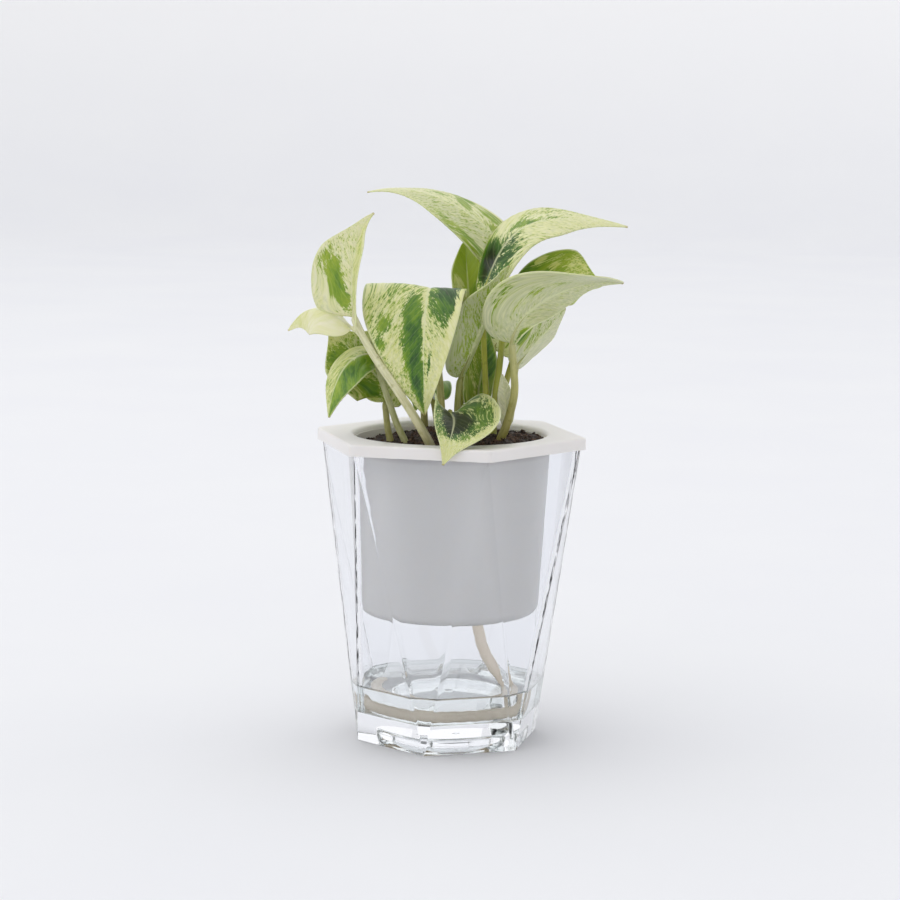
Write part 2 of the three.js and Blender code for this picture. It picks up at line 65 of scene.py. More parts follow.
# Adds a node with its inputs and settings; stops are a ramp's colours
def addNode(tree, kind, inputs=None, stops=(), **settings):
    node = tree.nodes.new("ShaderNode" + kind)
    for name, value in settings.items():
        setattr(node, name, value)
    feed(tree, node, inputs or {})
    for k, (place, colour) in enumerate(stops):
        ends = node.color_ramp.elements
        stop = ends[k] if k < 2 else ends.new(place)
        stop.position = place
        stop.color = srgb(colour)
    return node


def newMaterial(name):
    material = bpy.data.materials.new(name)
    material.use_nodes = True
    tree = material.node_tree
    return material, tree, tree.nodes["Principled BSDF"]


def selectOnly(piece):
    bpy.ops.object.select_all(action="DESELECT")
    piece.select_set(True)
    bpy.context.view_layer.objects.active = piece


# Cuts or joins another piece and drops it
def combine(piece, other, operation):
    selectOnly(piece)
    modifier = piece.modifiers.new("combine", "BOOLEAN")
    modifier.operation = operation
    modifier.solver = "EXACT"
    modifier.object = other
    bpy.ops.object.modifier_apply(modifier=modifier.name)
    bpy.data.objects.remove(other)


# Puts a primitive's place into its mesh and leaves the object at the origin
def settle(piece):
    selectOnly(piece)
    bpy.ops.object.transform_apply(location=True, rotation=True, scale=True)


# Selects edges by their place, for an operator in edit mode
def pickEdges(piece, test):
    bpy.ops.object.mode_set(mode="EDIT")
    bpy.ops.mesh.select_mode(type="EDGE")
    bpy.ops.mesh.select_all(action="DESELECT")
    bpy.ops.object.mode_set(mode="OBJECT")
    mesh = piece.data
    for edge in mesh.edges:
        a, b = (mesh.vertices[i].co / mm for i in edge.vertices)
        edge.select = test(a, b)
    bpy.ops.object.mode_set(mode="EDIT")


def bevelPicked(width, segments):
    bpy.ops.mesh.bevel(offset=width * mm, segments=segments, affect="EDGES", clamp_overlap=True)
    bpy.ops.object.mode_set(mode="OBJECT")


# Large flats stay flat, and the narrow roundings between them are smooth
def smoothRoundings(piece, flatArea):
    for face in piece.data.polygons:
        face.use_smooth = face.area < flatArea * mm * mm


def dress(piece, nodeNames, material):
    piece.data.materials.clear()
    piece.data.materials.append(material)
    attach(piece, "root")
    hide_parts(*nodeNames)


# Points on an arc round a middle, from one angle to another in degrees
def arc(x, y, radius, start, end, steps):
    angles = [math.radians(start + (end - start) * i / steps) for i in range(steps + 1)]
    return [(x + radius * math.cos(a), y + radius * math.sin(a)) for a in angles]


# How far along a line of points each of them lies
def distances(line):
    return np.concatenate([[0], np.cumsum(np.linalg.norm(np.diff(line, axis=0), axis=1))])


# A smooth curve through the points, cut into even steps: centripetal, so it never loops at a bend
def routeThrough(points, steps):
    p = [np.array(q, float) for q in points]
    p = [2 * p[0] - p[1], *p, 2 * p[-1] - p[-2]]
    fine = []
    for a, b, c, d in zip(p, p[1:], p[2:], p[3:]):
        ta, tb, tc = (np.linalg.norm(v) ** 0.5 for v in (b - a, c - b, d - c))
        m1 = ((b - a) / ta - (c - a) / (ta + tb) + (c - b) / tb) * tb
        m2 = ((c - b) / tb - (d - b) / (tb + tc) + (d - c) / tc) * tb
        for s in np.arange(0, 1, 0.04):  # 25 short chords between two points
            bend = (-3 * b + 3 * c - 2 * m1 - m2) * s * s + (2 * b - 2 * c + m1 + m2) * s ** 3
            fine.append(b + m1 * s + bend)
    fine.append(p[-2])
    fine = np.array(fine)
    run = distances(fine)
    at = np.linspace(0, run[-1], steps + 1)
    return np.column_stack([np.interp(at, run, fine[:, k]) for k in range(3)])


# A closed tube round a route in the plant's own directions; section gives the radius in mm by
# share along and angle round
def tube(name, route, sides, section):
    steps = len(route)
    tangents = np.gradient(route, axis=0)
    tangents /= np.linalg.norm(tangents, axis=1)[:, None]
    side = np.cross(tangents[0], (0.3, 0.9, 0.2))  # any way that the route doesn't start in
    points, shares = [], []
    for i in range(steps):
        side = side - tangents[i] * side.dot(tangents[i])
        side /= np.linalg.norm(side)
        other = np.cross(tangents[i], side)
        for k in range(sides):
            angle = 2 * math.pi * k / sides
            radius = section(i / (steps - 1), angle)
            points.append(route[i] + radius * (math.cos(angle) * side + math.sin(angle) * other))
            shares.append((i / (steps - 1), k / sides, 0))
    faces = [tuple(reversed(range(sides))), tuple((steps - 1) * sides + k for k in range(sides))]
    for i in range(steps - 1):
        for k in range(sides):
            a, b = i * sides + k, i * sides + (k + 1) % sides
            faces.append((a, b, b + sides, a + sides))
    mesh = bpy.data.meshes.new(name)
    mesh.from_pydata([plantTurn @ Vector(p * mm) for p in points], [], faces)
    mesh.attributes.new("share", "FLOAT_VECTOR", "POINT").data.foreach_set("vector", np.ravel(shares))
    for face in mesh.polygons:
        face.use_smooth = len(face.vertices) == 4
    piece = bpy.data.objects.new(name, mesh)
    bpy.context.collection.objects.link(piece)
    return piece


# Camera: fitted to the lid's and base's corners in the photograph
cameraSettings = {
    "place": (0, -1000, 250.4),  # mm, in the plant's directions
    "pitch": 7.82,
    "roll": 0.53,
    "lens": 104.1,
    "sensor": 36,
}


def addCamera():
    bpy.ops.object.camera_add()
    camera = bpy.context.object
    camera.name = "camera"
    camera.data.lens = cameraSettings["lens"]
    camera.data.sensor_width = cameraSettings["sensor"]
    tilt = Matrix.Rotation(math.radians(90 - cameraSettings["pitch"]), 4, "X")
    roll = Matrix.Rotation(math.radians(cameraSettings["roll"]), 4, "Z")
    camera.matrix_world = plantTurn @ Matrix.Translation(Vector(cameraSettings["place"]) * mm) @ tilt @ roll
    bpy.context.scene.camera = camera


addCamera()
print("camera placed")


# Wick: soft three-strand cotton rope. It leaves the inner pot's floor, hangs through the air into
# the water and lies round on the tumbler's floor
wick = {
    "radius": 2.25,
    "route": [
        (10.5, 0, 62), (10.5, 0, 56), (10.5, 0, 50), (11.5, -0.8, 43), (13.4, -1.9, 35.8),
        (16.9, -2.7, 29.1), (21.7, -3.7, 22.9), (24, -6.6, 18.8), (24.3, -10.8, 16),
    ],
    "layHeight": 14.55, "layRadius": 27.3, "layFrom": -34, "layTo": -206, "laySteps": 13,
    "strands": 3, "pitch": 17,                  # one turn of the twist is 17 mm long
    "groove": 0.13, "fray": 0.35, "frayLength": 2,  # shares of the radius, and mm at both ends
    "sides": 30, "steps": 260,
}


def cottonRope():
    # Undyed cotton: matt, warm off-white, with fine fibres along the strands and a faint stain from
    # the water. The lamp's direct light doesn't pass the clear wall, so a faint glow stands in for it
    material, tree, shader = newMaterial("twistedCotton")
    share = addNode(tree, "Attribute", attribute_name="share").outputs["Vector"]
    place = addNode(tree, "TexCoord").outputs["Object"]
    fibre = addNode(tree, "VectorMath", {0: share, 1: (170, 26, 1)}, operation="MULTIPLY")
    yarn = addNode(tree, "TexNoise", {"Vector": fibre, "Scale": 1.0, "Detail": 3.0})
    stain = addNode(tree, "TexNoise", {"Vector": place, "Scale": 1 / (9 * mm), "Detail": 2.0})
    tint = addNode(tree, "ValToRGB", {"Fac": yarn}, [(0.3, "e9e1d6"), (0.62, "fbf7f0")])
    worn = addNode(tree, "MixRGB", {"Fac": stain, 1: tint, 2: srgb("f3ebe0")})
    rough = addNode(tree, "Bump", {"Strength": 0.5, "Distance": 0.15 * mm, "Height": yarn})
    feed(tree, shader, {"Base Color": worn, "Normal": rough, "Roughness": 0.9, "Sheen Weight": 0.3,
                        "Emission Color": srgb("f8e0b6"), "Emission Strength": 0.16})
    return material


def makeWick():
    lay = arc(0, 0, wick["layRadius"], wick["layFrom"], wick["layTo"], wick["laySteps"])
    line = routeThrough([*wick["route"], *((x, y, wick["layHeight"]) for x, y in lay)], wick["steps"])
    length = np.linalg.norm(np.diff(line, axis=0), axis=1).sum()
    turns = length / wick["pitch"]

    def section(along, angle):
        strand = abs(math.cos(0.5 * wick["strands"] * (angle - 2 * math.pi * turns * along)))
        start, end = (max(0, 1 - part * length / wick["frayLength"]) for part in (along, 1 - along))
        whole = 1 - wick["fray"] * start - wick["fray"] * end
        return wick["radius"] * whole * (1 - wick["groove"] + wick["groove"] * strand ** 0.6)

    piece = tube("cotton_wick", line, wick["sides"], section)
    dress(piece, ["wick"], cottonRope())


makeWick()
print("wick made")


# Tumbler: injection-moulded clear polystyrene. The top is a hexagon and the base a smaller one
# turned by half a corner, so the side is twelve flat triangles with softly rounded edges
tumbler = {
    "height": 117.7, "topRadius": 51.9, "baseRadius": 36.3, "corners": 6,
    "wall": 2, "floor": 12, "recessRadius": 21.6, "recessDepth": 5.4,
    "outerRounding": 0.25, "innerRounding": 2.2, "recessRounding": 1.6,
    "lip": 1.5,                     # the hollow runs straight up over its last 1.5 mm
    "gateRadius": 1.7, "gateHeight": 0.6,
    "flatArea": 40,                 # faces over 40 square mm are the flats
}


def clearStyrene():
    # Clear moulded plastic, here a shade lower in index than crystal polystyrene: glass-smooth, a
    # breath of blue, and the faint haze of handling
    material, tree, shader = newMaterial("clearPolystyrene")
    place = addNode(tree, "TexCoord").outputs["Object"]
    haze = addNode(tree, "TexNoise", {"Vector": place, "Scale": 1 / (22 * mm), "Detail": 4.0})
    rough = addNode(tree, "MapRange", {0: haze, 1: 0.4, 2: 0.75, 4: 0.035})
    flow = addNode(tree, "TexNoise", {"Vector": place, "Scale": 1 / (14 * mm), "Detail": 1.0})
    wave = addNode(tree, "Bump", {"Strength": 0.06, "Distance": 0.6 * mm, "Height": flow})
    feed(tree, shader, {"Base Color": srgb("fafbfd"), "Roughness": rough, "Normal": wave,
                        "Transmission Weight": 1.0, "IOR": 1.49})
    return material


# The tumbler's outline, smaller by the inset all round
def tumblerHull(name, inset):
    step = 2 * math.pi / tumbler["corners"]
    shrink = inset / math.cos(step / 2)
    top = {"radius": (tumbler["topRadius"] - shrink) * mm, "location": (0, 0, tumbler["height"] * mm)}
    base = {"radius": (tumbler["baseRadius"] - shrink) * mm, "location": (0, 0, 0)}
    bpy.ops.mesh.primitive_circle_add(vertices=tumbler["corners"], rotation=(0, 0, step / 2), **top)
    upper = bpy.context.object
    bpy.ops.mesh.primitive_circle_add(vertices=tumbler["corners"], **base)
    piece = bpy.context.object
    piece.name = name
    upper.select_set(True)
    bpy.ops.object.join()
    settle(piece)
    bpy.ops.object.mode_set(mode="EDIT")
    bpy.ops.mesh.select_all(action="SELECT")
    bpy.ops.mesh.convex_hull(join_triangles=False)
    bpy.ops.mesh.dissolve_limited(angle_limit=math.radians(1))
    bpy.ops.object.mode_set(mode="OBJECT")
    return piece


# Keeps what lies between two heights, closed at both cuts
def sliceBetween(piece, bottom, top):
    selectOnly(piece)
    bpy.ops.object.mode_set(mode="EDIT")
    for height, keepAbove in ((bottom, True), (top, False)):
        bpy.ops.mesh.select_all(action="SELECT")
        bpy.ops.mesh.bisect(plane_co=(0, 0, height * mm), plane_no=(0, 0, 1), use_fill=True,
                            clear_inner=keepAbove, clear_outer=not keepAbove)
    bpy.ops.mesh.select_mode(type="FACE")
    bpy.ops.mesh.select_all(action="DESELECT")
    bpy.ops.object.mode_set(mode="OBJECT")


# Goes to edit mode with the faces that look up selected
def editTop(piece):
    for face in piece.data.polygons:
        face.select = face.normal.z > 0.9
    bpy.ops.object.mode_set(mode="EDIT")


def disc(name, radius, bottom, top, at=(0, 0), vertices=96):
    bpy.ops.mesh.primitive_cylinder_add(vertices=vertices, radius=radius * mm, depth=(top - bottom) * mm,
                                        location=(at[0] * mm, at[1] * mm, (top + bottom) / 2 * mm))
    piece = bpy.context.object
    piece.name = name
    settle(piece)
    return piece


def makeTumbler():
    piece = tumblerHull("clear_tumbler", 0)
    pickEdges(piece, lambda a, b: True)
    bevelPicked(tumbler["outerRounding"], 4)

    hollow = tumblerHull("hollow", tumbler["wall"])
    pickEdges(hollow, lambda a, b: True)
    bevelPicked(tumbler["innerRounding"], 8)
    sliceBetween(hollow, tumbler["floor"], tumbler["height"] - tumbler["lip"])
    editTop(hollow)
    bpy.ops.mesh.extrude_region_move(TRANSFORM_OT_translate={"value": (0, 0, 4 * mm)})  # out past the rim
    bpy.ops.object.mode_set(mode="OBJECT")
    combine(piece, hollow, "DIFFERENCE")

    recess = disc("recess", tumbler["recessRadius"], -3, tumbler["recessDepth"])
    pickEdges(recess, lambda a, b: min(a.z, b.z) > 1)
    bevelPicked(tumbler["recessRounding"], 4)
    gate = disc("gate", tumbler["gateRadius"], tumbler["recessDepth"] - tumbler["gateHeight"],
                tumbler["recessDepth"] + 1, vertices=40)
    combine(recess, gate, "DIFFERENCE")
    combine(piece, recess, "DIFFERENCE")
    smoothRoundings(piece, tumbler["flatArea"])
    dress(piece, ["tumbler"], clearStyrene())


makeTumbler()
print("tumbler made")


# Water: it wets the plastic, so its sides lie just inside the wall and no air is left between
water = {
    "level": 22, "wetting": 0.25, "meniscus": 0.9, "meniscusWidth": 1.8, "meniscusSteps": 4,
    "flatArea": 60,                 # faces over 60 square mm are the flats
}


def tapWater():
    # Clear water with the weakest green, and a surface just off mirror-flat
    material, tree, shader = newMaterial("tapWater")
    place = addNode(tree, "TexCoord").outputs["Object"]
    calm = addNode(tree, "TexNoise", {"Vector": place, "Scale": 1 / (16 * mm), "Detail": 1.0})
    ripple = addNode(tree, "Bump", {"Strength": 0.04, "Distance": 0.5 * mm, "Height": calm})
    feed(tree, shader, {"Base Color": srgb("fafdfb"), "Roughness": 0.0, "Normal": ripple,
                        "Transmission Weight": 1.0, "IOR": 1.333})
    return material


def makeWater():
    piece = tumblerHull("water_in_tumbler", tumbler["wall"] - water["wetting"])
    sliceBetween(piece, tumbler["floor"] - water["wetting"], water["level"])
    editTop(piece)
    steps, rise = water["meniscusSteps"], water["meniscus"]
    bpy.ops.transform.translate(value=(0, 0, rise * mm))
    for k in range(steps, 0, -1):  # the surface falls from the wall in a small hollow curve
        drop = rise * (k ** 2 - (k - 1) ** 2) / steps ** 2
        bpy.ops.mesh.inset(thickness=water["meniscusWidth"] / steps * mm)
        bpy.ops.transform.translate(value=(0, 0, -drop * mm))
    bpy.ops.object.mode_set(mode="OBJECT")
    smoothRoundings(piece, water["flatArea"])
    dress(piece, ["water"], tapWater())


makeWater()
print("water made")


# Lid and inner pot: one moulding of white polypropylene, hexagonal lid with a skirt, round pot
insert = {
    "top": 120, "cornerRadius": 54, "cornerRounding": 3, "plate": 2, "skirt": 4.5, "skirtWall": 1.2,
    "edgeRounding": 0.9, "openingRadius": 39, "lipRounding": 2,
    "potTopRadius": 38.4, "potBottomRadius": 33.9, "potBottom": 50, "potRounding": 4, "potWall": 1.7,
    "wickHole": 2.55, "wickAt": (10.5, 0), "sides": 120,
}


def whitePolypropylene():
    # Moulded white polypropylene: satin, slightly waxy, light sinks in a little, with a fine
    # spark-eroded grain. Below the lid the pot is painted whiter than the lid: painted light for the light
    # that reaches it through the clear wall
    material, tree, shader = newMaterial("whitePolypropylene")
    place = addNode(tree, "TexCoord").outputs["Object"]
    flow = addNode(tree, "TexNoise", {"Vector": place, "Scale": 1 / (30 * mm), "Detail": 3.0})
    grain = addNode(tree, "TexNoise", {"Vector": place, "Scale": 1 / (0.5 * mm), "Detail": 2.0})
    tint = addNode(tree, "ValToRGB", {"Fac": flow}, [(0.3, "e5e2df"), (0.7, "ebe8e6")])
    height = addNode(tree, "SeparateXYZ", {0: place}).outputs[2]
    # painted light: the pot below the lid is painted whiter than the same plastic above
    inside = addNode(tree, "MapRange", {0: height, 1: 0.114, 2: 0.112})
    tint = addNode(tree, "MixRGB", {0: inside, 1: tint, 2: srgb("fffdf9")})
    rough = addNode(tree, "MapRange", {0: flow, 1: 0.3, 2: 0.7, 3: 0.34, 4: 0.46})
    bump = addNode(tree, "Bump", {"Strength": 0.08, "Distance": 0.05 * mm, "Height": grain})
    feed(tree, shader, {"Base Color": tint, "Roughness": rough, "Normal": bump, "Subsurface Weight": 0.25,
                        "Subsurface Radius": (1.0, 0.9, 0.8), "Subsurface Scale": 1.2 * mm})
    return material


def hexagonPlate(name, cornerRadius, rounding, bottom, top):
    sixth = math.pi / 6
    piece = disc(name, cornerRadius, bottom, top, vertices=6)
    piece.data.transform(Matrix.Rotation(sixth, 4, "Z"))
    pickEdges(piece, lambda a, b: abs(a.z - b.z) > 0.5)
    bevelPicked(rounding * math.tan(sixth), 6)
    return piece


# Turns a profile of radius and height in mm once round the middle
def spun(name, profile):
    mesh = bpy.data.meshes.new(name)
    edges = [(i, i + 1) for i in range(len(profile) - 1)]
    mesh.from_pydata([(r * mm, 0, z * mm) for r, z in profile], edges, [])
    piece = bpy.data.objects.new(name, mesh)
    bpy.context.collection.objects.link(piece)
    selectOnly(piece)
    bpy.ops.object.mode_set(mode="EDIT")
    bpy.ops.mesh.select_all(action="SELECT")
    bpy.ops.mesh.spin(steps=insert["sides"], angle=2 * math.pi, center=(0, 0, 0), axis=(0, 0, 1))
    bpy.ops.mesh.select_all(action="SELECT")
    bpy.ops.mesh.remove_doubles(threshold=0.002 * mm)
    bpy.ops.mesh.normals_make_consistent(inside=False)
    bpy.ops.object.mode_set(mode="OBJECT")
    return piece


def potRadius(z):
    share = (z - insert["potBottom"]) / (insert["top"] - insert["potBottom"])
    return insert["potBottomRadius"] + share * (insert["potTopRadius"] - insert["potBottomRadius"])


def potBody(name, inset, top):
    bottom = insert["potBottom"] + inset
    rounding = max(insert["potRounding"] - inset, 1)
    radius = potRadius(bottom + rounding) - inset
    corner = arc(radius - rounding, bottom + rounding, rounding, -90, 0, 8)
    return spun(name, [(0, bottom), *corner, (potRadius(top) - inset, top), (0, top)])


def makeInsert():
    past = 1  # mm that a cutter runs out past what it cuts
    top, plateBottom, lip = insert["top"], insert["top"] - insert["plate"], insert["lipRounding"]
    rounding, skirtBottom = insert["cornerRounding"], top - insert["skirt"]
    piece = hexagonPlate("lid_with_pot", insert["cornerRadius"], rounding, skirtBottom, top)
    pickEdges(piece, lambda a, b: min(a.z, b.z) > top - 0.5)
    bevelPicked(insert["edgeRounding"], 4)
    inside = insert["cornerRadius"] - insert["skirtWall"] / math.cos(math.pi / 6)
    under = hexagonPlate("under", inside, rounding - insert["skirtWall"], skirtBottom - past, plateBottom)
    combine(piece, under, "DIFFERENCE")
    combine(piece, potBody("pot", 0, plateBottom + past), "UNION")
    combine(piece, potBody("room", insert["potWall"], top + past), "DIFFERENCE")
    edge = arc(insert["openingRadius"], top - lip, lip, 180, 90, 8)
    mouth = [(0, plateBottom - past), *edge, (insert["openingRadius"], top + past), (0, top + past)]
    combine(piece, spun("mouth", mouth), "DIFFERENCE")
    at = plantTurn @ Vector((*insert["wickAt"], 0))
    through = insert["potBottom"] - past, insert["potBottom"] + 3 * past
    combine(piece, disc("hole", insert["wickHole"], *through, (at.x, at.y), 32), "DIFFERENCE")
    selectOnly(piece)
    bpy.ops.object.shade_smooth_by_angle(angle=math.radians(32))
    dress(piece, ["lid_and_inner_pot"], whitePolypropylene())


makeInsert()
print("lid and inner pot made")


# Soil: damp potting mix in a low mound that leans to the right, with loose crumbs on top
soil = {
    "rimDrop": 4, "lean": 0.045, "moundHeight": 6, "moundRadius": 22, "bottom": 52.2,
    "rings": 70, "sectors": 220, "lump": 1.3, "lumpWidth": 6, "grit": 0.5, "gritWidth": 1.4,
    "pressOnWall": 0.1, "floorGap": 0.3,
    "crumbs": 620, "crumbSize": (0.5, 1.9), "crumbShape": (0.6, 1.3), "crumbLift": 0.2, "crumbReach": 0.98,
    "seed": 7,
}


def pottingMix():
    # Peat-based potting mix: dark, damp and dull, brown where a crumb has dried
    material, tree, shader = newMaterial("pottingMix")
    place = addNode(tree, "TexCoord").outputs["Object"]
    clod = addNode(tree, "TexNoise", {"Vector": place, "Scale": 1 / (5 * mm), "Detail": 6.0})
    grit = addNode(tree, "TexNoise", {"Vector": place, "Scale": 1 / (0.8 * mm), "Detail": 4.0})
    mixed = addNode(tree, "Math", {0: clod, 1: grit}, operation="ADD")
    dry = addNode(tree, "MapRange", {0: mixed, 1: 0.72, 2: 1.3})
    tint = addNode(tree, "ValToRGB", {"Fac": dry}, [
        (0.0, "150c08"), (0.4, "2b1b12"), (0.7, "4a3426"), (1.0, "725742")])
    rough = addNode(tree, "MapRange", {0: clod, 1: 0.35, 2: 0.65, 3: 0.6, 4: 0.95})
    bump = addNode(tree, "Bump", {"Strength": 0.9, "Distance": 0.5 * mm, "Height": grit})
    feed(tree, shader, {"Base Color": tint, "Roughness": rough, "Normal": bump})
    return material


def soilHeight(x, y):
    r = math.hypot(x, y) / soil["moundRadius"]
    mound = soil["moundHeight"] * math.exp(-r * r)
    lump = soil["lump"] * noise.fractal(Vector((x, y, 3)) / soil["lumpWidth"], 0.8, 2.1, 4)
    grit = soil["grit"] * noise.noise(Vector((x, y, 9)) / soil["gritWidth"])
    return insert["top"] - soil["rimDrop"] + soil["lean"] * x + mound + lump + grit


def makeSoil():
    draw = random.Random(soil["seed"])
    outer = potRadius(insert["top"] - soil["rimDrop"]) - insert["potWall"] + soil["pressOnWall"]
    floorRadius = insert["potBottomRadius"] - insert["potWall"] - soil["floorGap"]
    bpy.ops.mesh.primitive_circle_add(vertices=soil["sectors"], radius=outer * mm, fill_type="NGON")
    piece = bpy.context.object
    piece.name = "soil_in_pot"
    bpy.ops.object.mode_set(mode="EDIT")
    for _ in range(soil["rings"] - 1):
        bpy.ops.mesh.inset(thickness=outer / soil["rings"] * mm)
    bpy.ops.mesh.poke()
    bpy.ops.mesh.select_all(action="DESELECT")
    bpy.ops.mesh.select_mode(type="EDGE")
    bpy.ops.mesh.select_non_manifold()
    bpy.ops.mesh.extrude_region_move(TRANSFORM_OT_translate={"value": (0, 0, soil["bottom"] * mm)})
    bpy.ops.transform.resize(value=[floorRadius / outer] * 2 + [1])
    bpy.ops.mesh.edge_face_add()
    bpy.ops.mesh.select_all(action="SELECT")
    bpy.ops.mesh.normals_make_consistent(inside=False)
    bpy.ops.object.mode_set(mode="OBJECT")
    for vertex in piece.data.vertices:
        if vertex.co.z < 1 * mm:
            vertex.co.z = soilHeight(vertex.co.x / mm, vertex.co.y / mm) * mm
    pieces = [piece]
    for _ in range(soil["crumbs"]):
        r, turn = outer * math.sqrt(draw.random()) * soil["crumbReach"], draw.uniform(0, 2 * math.pi)
        x, y = r * math.cos(turn), r * math.sin(turn)
        size = draw.uniform(*soil["crumbSize"]) * draw.uniform(0.5, 1)
        at = Vector((x, y, soilHeight(x, y) + soil["crumbLift"] * size)) * mm
        bpy.ops.mesh.primitive_ico_sphere_add(subdivisions=1, radius=size / 2 * mm, location=at)
        crumb = bpy.context.object
        crumb.scale = [draw.uniform(*soil["crumbShape"]) for _ in range(3)]
        crumb.rotation_euler = [draw.uniform(0, 6.28) for _ in range(3)]  # any way up
        pieces.append(crumb)
    bpy.ops.object.select_all(action="DESELECT")
    for one in pieces:
        one.select_set(True)
    bpy.context.view_layer.objects.active = piece
    bpy.ops.object.join()
    settle(piece)
    for face in piece.data.polygons:
        face.use_smooth = False
    dress(piece, ["soil"], pottingMix())


makeSoil()
print("soil made")


